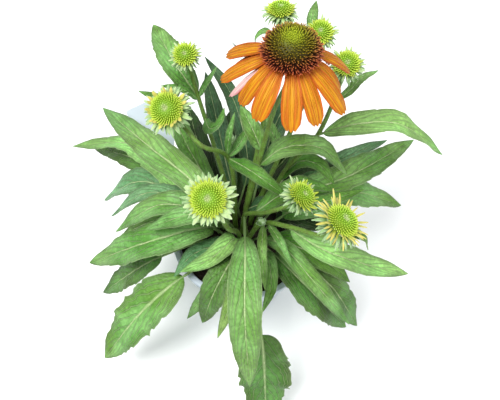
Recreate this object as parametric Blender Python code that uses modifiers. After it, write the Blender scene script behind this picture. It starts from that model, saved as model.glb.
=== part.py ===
"""Potted coneflower plant: one open bloom and eight buds on leafy stems over a rosette of leaves.

The tables hold millimetres, scaled by MM as the meshes are made, so the model is in metres.
The origin is the centre of the pot's underside, +Z is up and the plant's front faces -Y.
"""
import math

import bmesh
import bpy
import numpy as np
from mathutils import Matrix, Vector

MM = 0.001
WELD_DISTANCE = 0.00001
SPAN_SAMPLES = 24

# Pot: a thin moulded nursery pot with a rolled lip and drain holes round the edge of its floor
POT_HEIGHT = 120.0
POT_RIM_RADIUS = 75.0
POT_BASE_RADIUS = 52.0
POT_WALL = 1.8
POT_FLOOR = 2.4
LIP_WIDTH = 4.0
LIP_HEIGHT = 9.0
EDGE_ROUND = 1.0
LIP_TAPER = 0.6
POT_SIDES = 30
DRAIN_HOLES = 6
DRAIN_SIDES = 10
DRAIN_RADIUS = 5.0
DRAIN_CUT = 12.0
DRAIN_RING_RADIUS = 38.0

# Soil: fills the pot to just under the lip, mounded at the crown
SOIL_CROWN = 112.0
SOIL_EDGE = 108.0
SOIL_CROWN_RADIUS = 32.0
FIT_GAP = 0.35
ROOT_DEPTH = 9.0
HOLE_CLEARANCE = 0.8
HOLE_SIDES = 5

# Plant tag: a blank stake label that leans out over the back left of the rim
TAG_WIDTH = 38.0
TAG_HEIGHT = 46.0
TAG_THICKNESS = 0.8
TAG_CORNER = 4.0
TAG_CORNER_STEPS = 3
TAG_STAKE_WIDTH = 10.0
TAG_POINT_LENGTH = 8.0
TAG_NECK_DROP = 8.0
TAG_SHOULDER_IN = 6.0
TAG_SHOULDER_RISES = (4.0, 14.0)
TAG_FOOT = (-34.0, 28.0, 92.0)
TAG_TOP = (-98.0, 92.0, 213.0)
TAG_FACING = (0.0, -0.88, 0.47)

# Leaf sections: a stiff round stalk that thins out into a folded blade
STALK_HALF_WIDTH = 1.4
STALK_HALF_DEPTH = 1.3
STALK_EDGE = 0.6
STALK_RISE = 3.0
SOIL_CLEAR = 2.0
BLADE_SPREAD = 3.0
BLADE_EDGE = 0.38
BLADE_RIB_TOP = 0.35
BLADE_RIB_UNDER = 0.8
BLADE_TIP_HALF_WIDTH = 0.8
WIDEST_AT = 0.39
TIP_TAPER = 0.8
TOOTH_DEPTH = 0.05
BASAL_STALK_SHARE = 0.22
STEM_LEAF_STALK_SHARE = 0.04
BASAL_BLADE_STEPS = 7
INNER_BLADE_STEPS = 5
STEM_LEAF_BLADE_STEPS = 6

# Basal leaves: name, root on the soil, greatest width, fold, rib from stalk to tip
BASAL_LEAVES = [
    ("leaf_left_back_pale", (-16, 15), 22, 18, [(-53, 60, 180), (-75, 86, 222), (-97, 92, 232)]),
    ("leaf_left_scalloped", (-17, 9), 27, 12, [(-62, 28, 160), (-114, 79, 160), (-197, 107, 118)]),
    ("leaf_left_under", (-22, 13), 30, 10, [(-66, 33, 134), (-113, 75, 135), (-179, 117, 100)]),
    ("leaf_left_glossy", (-22, 6), 35, 14, [(-54, 25, 145), (-108, 44, 145), (-157, 46, 100)]),
    ("leaf_left_narrow", (-16, 2), 21, 14, [(-51, 9, 165), (-92, 20, 165), (-141, 17, 118)]),
    ("leaf_left_long", (-13, -3), 27, 14, [(-40, -7, 180), (-76, -4, 185), (-128, -10, 138)]),
    ("leaf_left_short", (-9, 2), 25, 14, [(-28, -12, 186), (-50, -22, 199), (-89, -26, 178)]),
    ("leaf_left_shaded", (-27, 1), 22, 10, [(-61, 14, 128), (-97, 7, 125), (-134, 4, 95)]),
    ("leaf_left_broad", (-20, -4), 36, 12, [(-36, -15, 158), (-82, -31, 165), (-164, -27, 95)]),
    ("leaf_left_low", (-26, -8), 31, 10, [(-49, -19, 128), (-95, -35, 118), (-158, -46, 52)]),
    ("leaf_front_left_broad", (-20, -15), 46, 10,
     [(-38, -39, 128), (-68, -63, 131), (-102, -86, 108), (-147, -117, 50)]),
    ("leaf_front_left_grey", (-14, -11), 17, 16, [(-22, -25, 141), (-48, -39, 148), (-66, -58, 138)]),
    ("leaf_front_left_bright", (-9, -10), 20, 16, [(-9, -25, 152), (-31, -46, 154), (-59, -55, 144)]),
    ("leaf_front_slim", (-15, -23), 14, 14, [(-12, -43, 138), (-32, -70, 134), (-58, -83, 80)]),
    ("leaf_front_dark", (-8, -24), 28, 12, [(-12, -46, 146), (-26, -74, 143), (-40, -93, 102)]),
    ("leaf_front_lime", (-2, -17), 14, 14, [(-3, -58, 162), (-11, -92, 160), (-23, -113, 124)]),
    ("leaf_front_long", (3, -26), 50, 10, [(9, -55, 134), (19, -112, 112), (24, -174, 32)]),
    ("leaf_front_fold", (10, -25), 14, 20, [(24, -44, 152), (27, -71, 150), (19, -92, 136)]),
    ("leaf_right_front_long", (11, -9), 17, 12, [(37, -38, 168), (64, -70, 164), (107, -93, 96)]),
    ("leaf_right_front_low", (21, -19), 36, 10, [(29, -31, 134), (64, -66, 128), (111, -86, 56)]),
    ("leaf_right_front_wide", (18, -13), 34, 12, [(42, -32, 142), (82, -64, 138), (121, -87, 66)]),
    ("leaf_right_front_round", (16, -7), 26, 14, [(46, -30, 154), (78, -50, 158), (103, -63, 138)]),
    ("leaf_right_broad", (22, 1), 39, 12, [(48, 9, 145), (105, 29, 150), (175, 37, 105)]),
    ("leaf_right_long", (19, 9), 31, 14, [(43, 20, 150), (102, 35, 168), (188, 99, 142)]),
    ("leaf_right_back_blue", (20, 17), 19, 14, [(49, 34, 140), (109, 73, 145), (166, 114, 120)]),
    ("leaf_back_mid", (-6, 26), 18, 14, [(5, 55, 160), (-9, 107, 200), (-40, 161, 205)]),
    ("leaf_back_thin", (1, 30), 10, 14, [(20, 70, 165), (20, 133, 205), (-11, 168, 218)]),
    ("leaf_back_left_dark", (-4, 20), 22, 14, [(-16, 55, 150), (-30, 111, 180), (-41, 158, 185)]),
    ("leaf_back_far", (8, 21), 26, 12, [(16, 49, 140), (37, 109, 165), (65, 170, 150)]),
]
# Inner leaves fill the crown between the others and have fewer steps
INNER_LEAVES = [
    ("leaf_inner_right", (19, 25), 24, 14, [(42, 44, 150), (66, 54, 166), (98, 50, 158)]),
    ("leaf_inner_low", (28, 3), 34, 12, [(44, 10, 132), (72, 8, 134), (112, 12, 112)]),
    ("leaf_inner_back", (-13, 24), 30, 12, [(-8, 62, 135), (-14, 92, 152), (-14, 130, 155)]),
    ("leaf_inner_back_left", (-20, 22), 26, 12, [(-38, 62, 140), (-52, 100, 152), (-62, 140, 150)]),
    ("leaf_inner_back_right", (13, 31), 26, 12, [(30, 60, 130), (56, 84, 145), (82, 104, 140)]),
]
# Leaves with a long bare stalk, by its share of the leaf's length
LONG_STALKS = {"leaf_left_low": 0.42, "leaf_front_left_broad": 0.42, "leaf_front_long": 0.5}

# Stems: the route of each from the soil upwards, short of its flower head
STEM_FOOT_RADIUS = 2.3
STEM_TOP_RADIUS = 1.5
STEM_STEPS = 8
STEM_RISE = 4.0
STEM_NECK = 14.0
STEM_TENON = 2.0
STEM_ROUTES = {
    "bloom": [(-1, 2), (18, 27, 230), (27, 30, 285)],
    "upper_left": [(-8, 8), (-13, 38, 200), (-36, 26, 240)],
    "top_left": [(-9, 15), (-21, 43, 170), (-40, 79, 240)],
    "top_mid": [(1, 14), (18, 56, 220), (30, 92, 280)],
    "top_right": [(8, 12), (38, 47, 200), (64, 84, 262)],
    "right_top": [(13, 6), (42, 37, 180), (69, 47, 225)],
    "right_mid": [(4, -6), (2, -3, 160), (22, -17, 195)],
    "right_low": [(4, -13), (19, -16, 170), (42, -36, 205)],
    "front_left": [(-3, -10), (-5, -16, 150), (-12, -28, 184)],
}

# Leaves on each stem: greatest width, fold, rib from the stem to the tip
STEM_LEAVES = {
    "bloom": [
        (22, 14, [(14, 25, 208), (38, 28, 232), (69, 28, 232), (96, 17, 205)]),
        (16, 14, [(18, 28, 228), (9, 40, 245), (-1, 60, 250)]),
        (17, 14, [(4, 8, 150), (22, 4, 172), (46, 2, 172)]),
    ],
    "upper_left": [
        (16, 14, [(-12, 37, 200), (12, 6, 224), (44, -13, 210)]),
        (7, 14, [(-14, 40, 204), (-11, 44, 232), (-6, 57, 245)]),
        (10, 14, [(-11, 39, 202), (-1, 46, 215), (9, 68, 215)]),
    ],
    "top_left": [
        (25, 18, [(-41, 79, 238), (-57, 90, 268), (-83, 146, 262)]),
        (9, 14, [(-41, 78, 236), (-54, 73, 258), (-72, 81, 252)]),
        (7, 14, [(-39, 78, 240), (-31, 79, 258), (-22, 92, 264)]),
        (12, 14, [(-35, 70, 220), (-29, 53, 226), (-21, 53, 232), (-16, 69, 236)]),
    ],
    "top_mid": [
        (6, 14, [(30, 92, 280), (21, 104, 294), (13, 104, 288), (12, 109, 272)]),
    ],
    "top_right": [
        (10, 16, [(66, 94, 276), (61, 116, 288), (68, 157, 280)]),
        (12, 14, [(38, 47, 200), (28, 57, 215), (19, 75, 222)]),
    ],
    "right_top": [
        (25, 14, [(69, 47, 225), (99, 43, 246), (138, 48, 240), (192, 45, 195)]),
        (9, 14, [(79, 62, 252), (93, 70, 256), (106, 88, 252), (128, 110, 240)]),
        (18, 14, [(38, 33, 168), (56, 42, 188), (74, 36, 190), (88, 20, 182)]),
    ],
    "right_mid": [
        (29, 18, [(1, -3, 160), (3, -52, 190), (3, -108, 186), (7, -155, 118)]),
        (14, 14, [(29, -19, 205), (71, -7, 195), (117, 15, 180)]),
        (20, 14, [(12, -10, 178), (54, 13, 192), (86, 13, 182)]),
    ],
    "right_low": [
        (9, 14, [(20, -18, 172), (18, -51, 184), (21, -78, 160)]),
        (8, 14, [(24, -21, 178), (35, -45, 190), (44, -60, 180)]),
        (24, 14, [(38, -35, 202), (67, -56, 205), (106, -62, 185), (156, -59, 150)]),
        (8, 14, [(68, -50, 234), (88, -57, 238), (98, -58, 232), (105, -61, 214)]),
    ],
    "front_left": [
        (28, 12, [(-13, -32, 205), (-39, -9, 232), (-82, 33, 225), (-145, 109, 185)]),
    ],
}

# Unopened side buds: the stem that carries each and the bud's centre
SIDE_BUDS = [("upper_left", (-10, 50, 212)), ("right_low", (18, -23, 188))]
SIDE_BUD_RADIUS = 3.6
SIDE_BUD_SIDES = 8
SIDE_STALK_LENGTH = 12.0
SIDE_STALK_RADIUS = 1.2
SIDE_BUD_NECK = 0.5
SIDE_BUD_TOP = 0.7
SIDE_BUD_HEIGHT = 0.8
SIDE_BRACT_NARROWING = 0.6
SIDE_BRACT_STEP = (2.0, 1.0)
SIDE_BRACT_TIP = (1.6, 1.2)

# Flower heads: centre of the ray plane, direction faced, disc radius, dome height, rays and reach
HEADS = {
    "upper_left": dict(centre=(-61, 40, 270), axis=(-0.14, -0.39, 0.89), disc=14.0, dome=7.0,
                       sides=16, rows=4, ray=6.5, ray_rise=1.5, own_rays=True),
    "top_left": dict(centre=(-46, 80, 290), axis=(-0.05, -0.35, 0.93), disc=8.5, dome=5.0,
                     sides=12, rows=4, ray=4.5, ray_rise=2.5, own_rays=False),
    "top_mid": dict(centre=(32, 103, 315), axis=(0.0, 0.15, 0.98), disc=9.5, dome=5.5,
                    sides=12, rows=4, ray=4.5, ray_rise=2.5, own_rays=False),
    "top_right": dict(centre=(65, 95, 300), axis=(-0.1, -0.3, 0.95), disc=9.5, dome=5.5,
                      sides=12, rows=4, ray=4.5, ray_rise=2.5, own_rays=False),
    "right_top": dict(centre=(86, 70, 290), axis=(-0.05, -0.3, 0.95), disc=10.0, dome=5.5,
                      sides=12, rows=4, ray=5.0, ray_rise=2.0, own_rays=False),
    "right_mid": dict(centre=(49.5, -21.8, 235), axis=(0.5, 0.0, 0.85), disc=11.0, dome=6.0,
                      sides=14, rows=3, ray=6.5, ray_rise=1.0, own_rays=False),
    "right_low": dict(centre=(77.5, -52.7, 250), axis=(0.45, 0.1, 0.85), disc=14.0, dome=7.0,
                      sides=16, rows=4, ray=12.0, ray_rise=0.5, own_rays=True),
    "front_left": dict(centre=(-24, -41, 265), axis=(-0.05, -0.35, 0.93), disc=13.5, dome=7.0,
                       sides=16, rows=4, ray=7.0, ray_rise=1.5, own_rays=True),
}
FLORET_HEIGHT = 1.5
DOME_TOP_ANGLE = 82.0
DISC_EDGE = 0.96
RAY_PLATE = 1.2
RAY_NARROWING = 0.6
RAY_STEP_SHARE = 0.75
RAY_STEP_RISE = 0.4
RECEPTACLE_DEPTH = 0.6
CUP_WAIST = 0.66
CUP_WAIST_DEPTH = 0.6
CUP_RIM = 0.9
NECK_FLARE = 0.6
BRACT_REACH = 0.36
BRACT_NARROWING = 0.58
BRACT_FALL = 0.1
BRACT_TIP_SHARE = 0.7
BRACT_TIP_FALL = 0.25

# Bloom: a domed cone of spines over drooping petals, which turn further down at the back
BLOOM_CENTRE = (36, 35, 337)
BLOOM_AXIS = (0.0, -0.01, 1.0)
CONE_RADIUS = 18.0
CONE_HEIGHT = 17.0
CONE_SIDES = 20
CONE_ROWS = 7
SPINE_HEIGHT = 3.4
PETAL_ROOT_RADIUS = 12.5
PETAL_HINGE_RADIUS = 17.5
PETAL_STEPS = 4
PETAL_BASE_DROP = 0.5
PETAL_HINGE_RISE = 0.1
PETAL_LAYER_DROP = 1.3
PETAL_HALF_THICKNESS = 0.38
PETAL_RIB_RISE = 0.2
PETAL_EDGE_SAG = 0.06
PETAL_FIRST_DROOP = 0.55
PETAL_LAST_DROOP = 1.35
PETAL_STEEPEST = 84.0
PETAL_OUTLINE = (0.3, 0.52, 0.88, 1.0, 0.94, 0.45)
COLLAR_DEPTH = 3.2
COLLAR_SHARE = 0.86
CONE_FOOT_SHARE = 0.8
CONE_RIM_SHARE = 0.94
CONE_FOOT = 0.4
CONE_RIM = 2.4
CUP_SIDES = 12
CUP_SHARE = 0.7
# Petals: bearing round the bloom, droop, length, width and layer, counted down from the cone
PETALS = [
    (9, 42, 38, 14, 0), (338, 50, 34, 13, 0), (319, 36, 41, 15, 0), (294, 43, 39, 14, 0),
    (270, 42, 40, 15, 0), (238, 43, 38, 15, 0), (212, 50, 37, 14, 0), (188, 30, 38, 14, 0),
    (158, 32, 38, 14, 0), (174, 42, 36, 11, 1), (200, 42, 38, 11, 1), (34, 62, 37, 13, 0),
    (60, 66, 37, 13, 0), (86, 33, 37, 12, 0), (111, 64, 37, 13, 0), (135, 60, 37, 13, 0),
]

COLOURS = {
    "pot": ((0.72, 0.76, 0.80), 0.45),
    "soil": ((0.05, 0.035, 0.025), 0.95),
    "tag": ((0.80, 0.86, 0.90), 0.4),
    "leaf": ((0.10, 0.26, 0.05), 0.5),
    "stem": ((0.16, 0.32, 0.08), 0.55),
    "floret": ((0.35, 0.52, 0.06), 0.6),
    "ray": ((0.75, 0.76, 0.28), 0.6),
    "petal": ((0.80, 0.23, 0.03), 0.55),
    "cone": ((0.30, 0.12, 0.03), 0.6),
}


def clear_scene():
    for old in list(bpy.data.objects):
        bpy.data.objects.remove(old, do_unlink=True)


def new_collection(name):
    collection = bpy.data.collections.new(name)
    bpy.context.scene.collection.children.link(collection)
    return collection


def make_materials():
    materials = {}
    for name, (colour, roughness) in COLOURS.items():
        material = bpy.data.materials.new(name)
        material.use_nodes = True
        shader = material.node_tree.nodes["Principled BSDF"]
        shader.inputs["Base Color"].default_value = (*colour, 1.0)
        shader.inputs["Roughness"].default_value = roughness
        shader.inputs["Metallic"].default_value = 0.0
        materials[name] = material
    return materials


def add_object(name, mesh, material, collection):
    piece = bpy.data.objects.new(name, mesh)
    piece.data.materials.clear()
    if material is not None:
        piece.data.materials.append(material)
    collection.objects.link(piece)
    return piece


def bmesh_to_mesh(bm, name, smooth_below=None):
    mesh = bpy.data.meshes.new(name)
    bm.to_mesh(mesh)
    bm.free()
    if smooth_below is not None:
        mesh.shade_smooth()
        mesh.set_sharp_from_angle(angle=math.radians(smooth_below))
    return mesh


def join_by_union(name, meshes, material, collection):
    """One closed body from overlapping closed meshes, by one Boolean union on a collection."""
    joined = add_object(name, meshes[0], material, collection)
    operands = new_collection(name + "_operands")
    for index, mesh in enumerate(meshes[1:]):
        add_object(f"{name}_operand_{index}", mesh, material, operands)
    union = joined.modifiers.new("Union", "BOOLEAN")
    union.operation = "UNION"
    union.solver = "EXACT"
    union.operand_type = "COLLECTION"
    union.collection = operands
    with bpy.context.temp_override(object=joined, active_object=joined):
        bpy.ops.object.modifier_apply(modifier=union.name)
    for operand in list(operands.objects):
        bpy.data.objects.remove(operand, do_unlink=True)
    bpy.data.collections.remove(operands)
    joined.data.materials.clear()
    joined.data.materials.append(material)
    return joined


def evenly_spaced(polyline, samples):
    along = np.concatenate([[0], np.cumsum(np.linalg.norm(np.diff(polyline, axis=0), axis=1))])
    even = np.linspace(0, along[-1], samples)
    return np.stack([np.interp(even, along, polyline[:, axis]) for axis in range(3)], axis=1)


def smooth_route(points, samples=160):
    """Evenly spaced points along a centripetal Catmull-Rom curve through the given points."""
    knots = np.array(points, dtype=float)
    knots = np.vstack([2 * knots[0] - knots[1], knots, 2 * knots[-1] - knots[-2]])
    times = np.concatenate([[0], np.cumsum(np.linalg.norm(np.diff(knots, axis=0), axis=1) ** 0.5)])
    curve = []
    for k in range(1, len(knots) - 2):
        t0, t1, t2, t3 = times[k - 1:k + 3]
        p0, p1, p2, p3 = knots[k - 1:k + 3]
        for t in np.linspace(t1, t2, SPAN_SAMPLES, endpoint=False):
            a1 = (t1 - t) / (t1 - t0) * p0 + (t - t0) / (t1 - t0) * p1
            a2 = (t2 - t) / (t2 - t1) * p1 + (t - t1) / (t2 - t1) * p2
            a3 = (t3 - t) / (t3 - t2) * p2 + (t - t2) / (t3 - t2) * p3
            b1 = (t2 - t) / (t2 - t0) * a1 + (t - t0) / (t2 - t0) * a2
            b2 = (t3 - t) / (t3 - t1) * a2 + (t - t1) / (t3 - t1) * a3
            curve.append((t2 - t) / (t2 - t1) * b1 + (t - t1) / (t2 - t1) * b2)
    curve.append(knots[-2])
    return evenly_spaced(np.array(curve), samples)


def unit(vector):
    return vector / np.linalg.norm(vector)


def route_stations(route, shares):
    """Points and directions at given shares of a route's length."""
    places = np.linspace(0, 1, len(route))
    points = np.stack([np.interp(shares, places, route[:, axis]) for axis in range(3)], axis=1)
    slopes = np.gradient(route, axis=0)
    headings = np.stack([np.interp(shares, places, slopes[:, axis]) for axis in range(3)], axis=1)
    return points, [unit(heading) for heading in headings]


def carried_sides(headings, start, up):
    """Side directions that turn as little as possible along a route, level at one station."""
    sides = [None] * len(headings)
    sides[start] = unit(np.cross(headings[start], up))
    for index in range(start + 1, len(headings)):
        side = sides[index - 1]
        sides[index] = unit(side - side.dot(headings[index]) * headings[index])
    for index in range(start - 1, -1, -1):
        side = sides[index + 1]
        sides[index] = unit(side - side.dot(headings[index]) * headings[index])
    return sides


def blade_mesh(name, sections):
    """Closed loft through six-point sections, its upper and lower faces cut by like diagonals.

    A section runs left edge, rib and right edge along the top, then back along the underside.
    """
    bm = bmesh.new()
    rings = [[bm.verts.new(Vector(point) * MM) for point in section] for section in sections]
    for near, far in zip(rings, rings[1:]):
        for corners in (
            (near[0], near[1], far[1]), (near[0], far[1], far[0]),
            (near[1], near[2], far[1]), (near[2], far[2], far[1]),
            (near[5], far[5], far[4]), (near[5], far[4], near[4]),
            (near[3], near[4], far[4]), (near[3], far[4], far[3]),
            (near[0], far[0], far[5]), (near[0], far[5], near[5]),
            (near[2], near[3], far[3]), (near[2], far[3], far[2]),
        ):
            bm.faces.new(corners)
    first, last = rings[0], rings[-1]
    for corners in ((first[1], first[0], first[5], first[4]), (first[2], first[1], first[4], first[3]),
                    (last[0], last[1], last[4], last[5]), (last[1], last[2], last[3], last[4])):
        bm.faces.new(corners)
    return bmesh_to_mesh(bm, name, smooth_below=50)


def lance_outline(share):
    """Half width of a lance-shaped blade at a share of its length, 1 at the widest."""
    rise = TIP_TAPER * WIDEST_AT / (1 - WIDEST_AT)
    return (share / WIDEST_AT) ** rise * ((1 - share) / (1 - WIDEST_AT)) ** TIP_TAPER


def route_length(route):
    return float(np.linalg.norm(np.diff(route, axis=0), axis=1).sum())


def leaf_mesh(name, rib, width, fold, stalk_share, blade_steps, rooted):
    """A leaf along its rib: a stalk, then a folded blade with a coarsely toothed edge."""
    route = smooth_route(rib)
    stalk = [0.0]
    if rooted:
        out_of_soil = (ROOT_DEPTH + SOIL_CLEAR) / route_length(route)
        stalk += [out_of_soil, (out_of_soil + stalk_share) / 2]
    blade = [stalk_share + (1 - stalk_share) * step / blade_steps for step in range(blade_steps + 1)]
    points, headings = route_stations(route, stalk + blade)
    stalk_steps = len(stalk)
    middle = stalk_steps + blade_steps // 2
    sides = carried_sides(headings, middle, np.array([0.0, 0.0, 1.0]))
    sections = []
    for index, (point, heading, side) in enumerate(zip(points, headings, sides)):
        share = max(0.0, (index - stalk_steps) / blade_steps)
        spread = min(1.0, share * BLADE_SPREAD)
        normal = np.cross(side, heading)
        tooth = 1 + TOOTH_DEPTH * (-1) ** index
        half = max(lance_outline(share) * tooth * width / 2, STALK_HALF_WIDTH * (1 - spread),
                   BLADE_TIP_HALF_WIDTH)
        lift = math.radians(fold) * spread
        out = side * half * math.cos(lift)
        rise = normal * half * math.sin(lift)
        edge = normal * (STALK_EDGE + (BLADE_EDGE - STALK_EDGE) * spread)
        top = normal * (STALK_HALF_DEPTH + (BLADE_RIB_TOP - STALK_HALF_DEPTH) * spread)
        under = normal * (STALK_HALF_DEPTH + (BLADE_RIB_UNDER - STALK_HALF_DEPTH) * spread)
        if index == len(points) - 1:
            top, under = edge, edge
        sections.append([point - out + rise + edge, point + top, point + out + rise + edge,
                         point + out + rise - edge, point - under, point - out + rise - edge])
    return blade_mesh(name, sections)


def add_basal_leaves(materials, collection):
    for rows, steps in ((BASAL_LEAVES, BASAL_BLADE_STEPS), (INNER_LEAVES, INNER_BLADE_STEPS)):
        for name, root, width, fold, rib in rows:
            whole_rib = [(*root, SOIL_CROWN - ROOT_DEPTH), (*root, SOIL_CROWN + STALK_RISE)] + rib
            stalk_share = LONG_STALKS.get(name, BASAL_STALK_SHARE)
            mesh = leaf_mesh(name, whole_rib, width, fold, stalk_share, steps, rooted=True)
            add_object(name, mesh, materials["leaf"], collection)


def stem_route(name):
    """A stem from its hole in the soil to the underside of its flower head."""
    foot, *rest = STEM_ROUTES[name]
    if name == "bloom":
        centre, axis, disc = BLOOM_CENTRE, BLOOM_AXIS, CONE_RADIUS
    else:
        head = HEADS[name]
        centre, axis, disc = head["centre"], head["axis"], head["disc"]
    axis = unit(np.array(axis, dtype=float))
    base = np.array(centre, dtype=float) - axis * disc * RECEPTACLE_DEPTH
    root = [(*foot, SOIL_CROWN - ROOT_DEPTH), (*foot, SOIL_CROWN + STEM_RISE)]
    return smooth_route(root + rest + [base - axis * STEM_NECK, base + axis * STEM_TENON])


def tube_mesh(name, route, foot_radius, top_radius, shares):
    """A tapering round stalk through the given shares of a route, as a welded mesh."""
    curve = bpy.data.curves.new(name, "CURVE")
    curve.dimensions = "3D"
    curve.bevel_depth = MM
    curve.bevel_resolution = 1
    curve.use_fill_caps = True
    spline = curve.splines.new("POLY")
    spline.points.add(len(shares) - 1)
    points, _ = route_stations(route, shares)
    for target, point, share in zip(spline.points, points, shares):
        target.co = (*(point * MM), 1.0)
        target.radius = foot_radius + (top_radius - foot_radius) * share
    guide = bpy.data.objects.new(name, curve)
    bpy.context.scene.collection.objects.link(guide)
    depsgraph = bpy.context.evaluated_depsgraph_get()
    mesh = bpy.data.meshes.new_from_object(guide.evaluated_get(depsgraph))
    bpy.data.objects.remove(guide, do_unlink=True)
    bm = bmesh.new()
    bm.from_mesh(mesh)
    bmesh.ops.remove_doubles(bm, verts=bm.verts, dist=WELD_DISTANCE)
    bm.to_mesh(mesh)
    bm.free()
    return mesh


def nearest_on(route, point):
    return route[np.argmin(np.linalg.norm(route - np.array(point, dtype=float), axis=1))]


def ring_of_verts(bm, sides, radius, height, turn=0.0):
    angles = [(index + turn) * math.tau / sides for index in range(sides)]
    return [bm.verts.new((radius * math.cos(a) * MM, radius * math.sin(a) * MM, height * MM))
            for a in angles]


def band_of_faces(bm, lower, upper):
    count = len(lower)
    return [bm.faces.new((lower[i], lower[(i + 1) % count], upper[(i + 1) % count], upper[i]))
            for i in range(count)]


def grow_points(bm, faces, narrowing, reach, rise, tip_reach, tip_rise):
    """Draw each face out into a pointed blade: out and up by one step, then to a tip."""
    grown = bmesh.ops.extrude_discrete_faces(bm, faces=faces)["faces"]
    for face in grown:
        middle = face.calc_center_median()
        outward = Vector((middle.x, middle.y, 0)).normalized()
        step = outward * reach * MM + Vector((0, 0, rise * MM))
        for vert in face.verts:
            vert.co = middle + (vert.co - middle) * narrowing + step
    tips = bmesh.ops.poke(bm, faces=grown, offset=0.0, center_mode="MEAN")["verts"]
    for tip in tips:
        outward = Vector((tip.co.x, tip.co.y, 0)).normalized()
        tip.co += outward * tip_reach * MM + Vector((0, 0, tip_rise * MM))


def receptacle_mesh(name, disc, sides, neck_radius):
    """The green cup under a head, ringed by pointed bracts that curl back from it."""
    depth = disc * RECEPTACLE_DEPTH
    reach = disc * BRACT_REACH
    bm = bmesh.new()
    neck = ring_of_verts(bm, sides, neck_radius, -depth)
    waist = ring_of_verts(bm, sides, disc * CUP_WAIST, -depth * CUP_WAIST_DEPTH)
    rim = ring_of_verts(bm, sides, disc * CUP_RIM, -RAY_PLATE)
    bm.faces.new(list(reversed(neck)))
    band_of_faces(bm, neck, waist)
    outer = band_of_faces(bm, waist, rim)
    bm.faces.new(rim)
    grow_points(bm, outer, BRACT_NARROWING, reach, -reach * BRACT_FALL,
                reach * BRACT_TIP_SHARE, -reach * BRACT_TIP_FALL)
    return bmesh_to_mesh(bm, name)


def add_florets(bm, base, sides, rows, radius, dome, base_height, spike):
    """Cover a dome with diamond florets, each drawn to a point, in rings half a step apart."""
    rings = [base]
    for row in range(1, rows + 1):
        angle = math.radians(DOME_TOP_ANGLE) * row / rows
        rings.append(ring_of_verts(bm, sides, radius * math.cos(angle),
                                   base_height + dome * math.sin(angle), turn=row / 2))
    diamonds = []
    for low, mid, high in zip(rings, rings[1:], rings[2:]):
        for i in range(sides):
            after = (i + 1) % sides
            diamonds.append(bm.faces.new((low[after], mid[after], high[i], mid[i])))
    first, second = rings[0], rings[1]
    before_last, last = rings[-2], rings[-1]
    for i in range(sides):
        after = (i + 1) % sides
        bm.faces.new((first[i], first[after], second[i]))
        bm.faces.new((before_last[after], last[after], last[i]))
    bm.faces.new(last)
    bm.normal_update()
    bmesh.ops.poke(bm, faces=diamonds, offset=spike * MM, center_mode="MEAN")


def turned_to(axis):
    return Vector(axis).to_track_quat("Z", "Y")


def placed(mesh, centre, axis):
    """Move a mesh made about the origin to a head's centre, facing along the head's axis."""
    mesh.transform(Matrix.Translation(Vector(centre) * MM) @ turned_to(axis).to_matrix().to_4x4())
    return mesh


def grow_rays(bm, faces, head):
    ray, rise = head["ray"], head["ray_rise"]
    grow_points(bm, faces, RAY_NARROWING, ray * RAY_STEP_SHARE, rise * RAY_STEP_RISE,
                ray * (1 - RAY_STEP_SHARE), rise * (1 - RAY_STEP_RISE))


def disc_mesh(name, head):
    """A bud's floret disc; where the rays are not their own piece, they grow from its edge."""
    bm = bmesh.new()
    sides, radius = head["sides"], head["disc"]
    bottom = FIT_GAP if head["own_rays"] else FIT_GAP - RAY_PLATE
    height = bottom + RAY_PLATE
    low = ring_of_verts(bm, sides, radius * DISC_EDGE, bottom)
    high = ring_of_verts(bm, sides, radius * DISC_EDGE, height)
    bm.faces.new(list(reversed(low)))
    side_faces = band_of_faces(bm, low, high)
    add_florets(bm, high, sides, head["rows"], radius, head["dome"], height, FLORET_HEIGHT)
    if not head["own_rays"]:
        grow_rays(bm, side_faces, head)
    return bmesh_to_mesh(bm, name)


def rays_mesh(name, head):
    """The ring of short rays under a bud's disc, drawn out of the edge of a thin plate."""
    bm = bmesh.new()
    sides, radius = head["sides"], head["disc"]
    low = ring_of_verts(bm, sides, radius * DISC_EDGE, FIT_GAP - RAY_PLATE)
    high = ring_of_verts(bm, sides, radius * DISC_EDGE, 0.0)
    bm.faces.new(list(reversed(low)))
    side_faces = band_of_faces(bm, low, high)
    bm.faces.new(high)
    grow_rays(bm, side_faces, head)
    return bmesh_to_mesh(bm, name)


def add_bud_heads(materials, collection):
    for name, head in HEADS.items():
        pieces = [("disc_" + name, disc_mesh, "floret")]
        if head["own_rays"]:
            pieces.append(("rays_" + name, rays_mesh, "ray"))
        for piece_name, maker, slot in pieces:
            piece = add_object(piece_name, maker(piece_name, head), materials[slot], collection)
            piece.location = Vector(head["centre"]) * MM
            piece.rotation_mode = "QUATERNION"
            piece.rotation_quaternion = turned_to(head["axis"])


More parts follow.
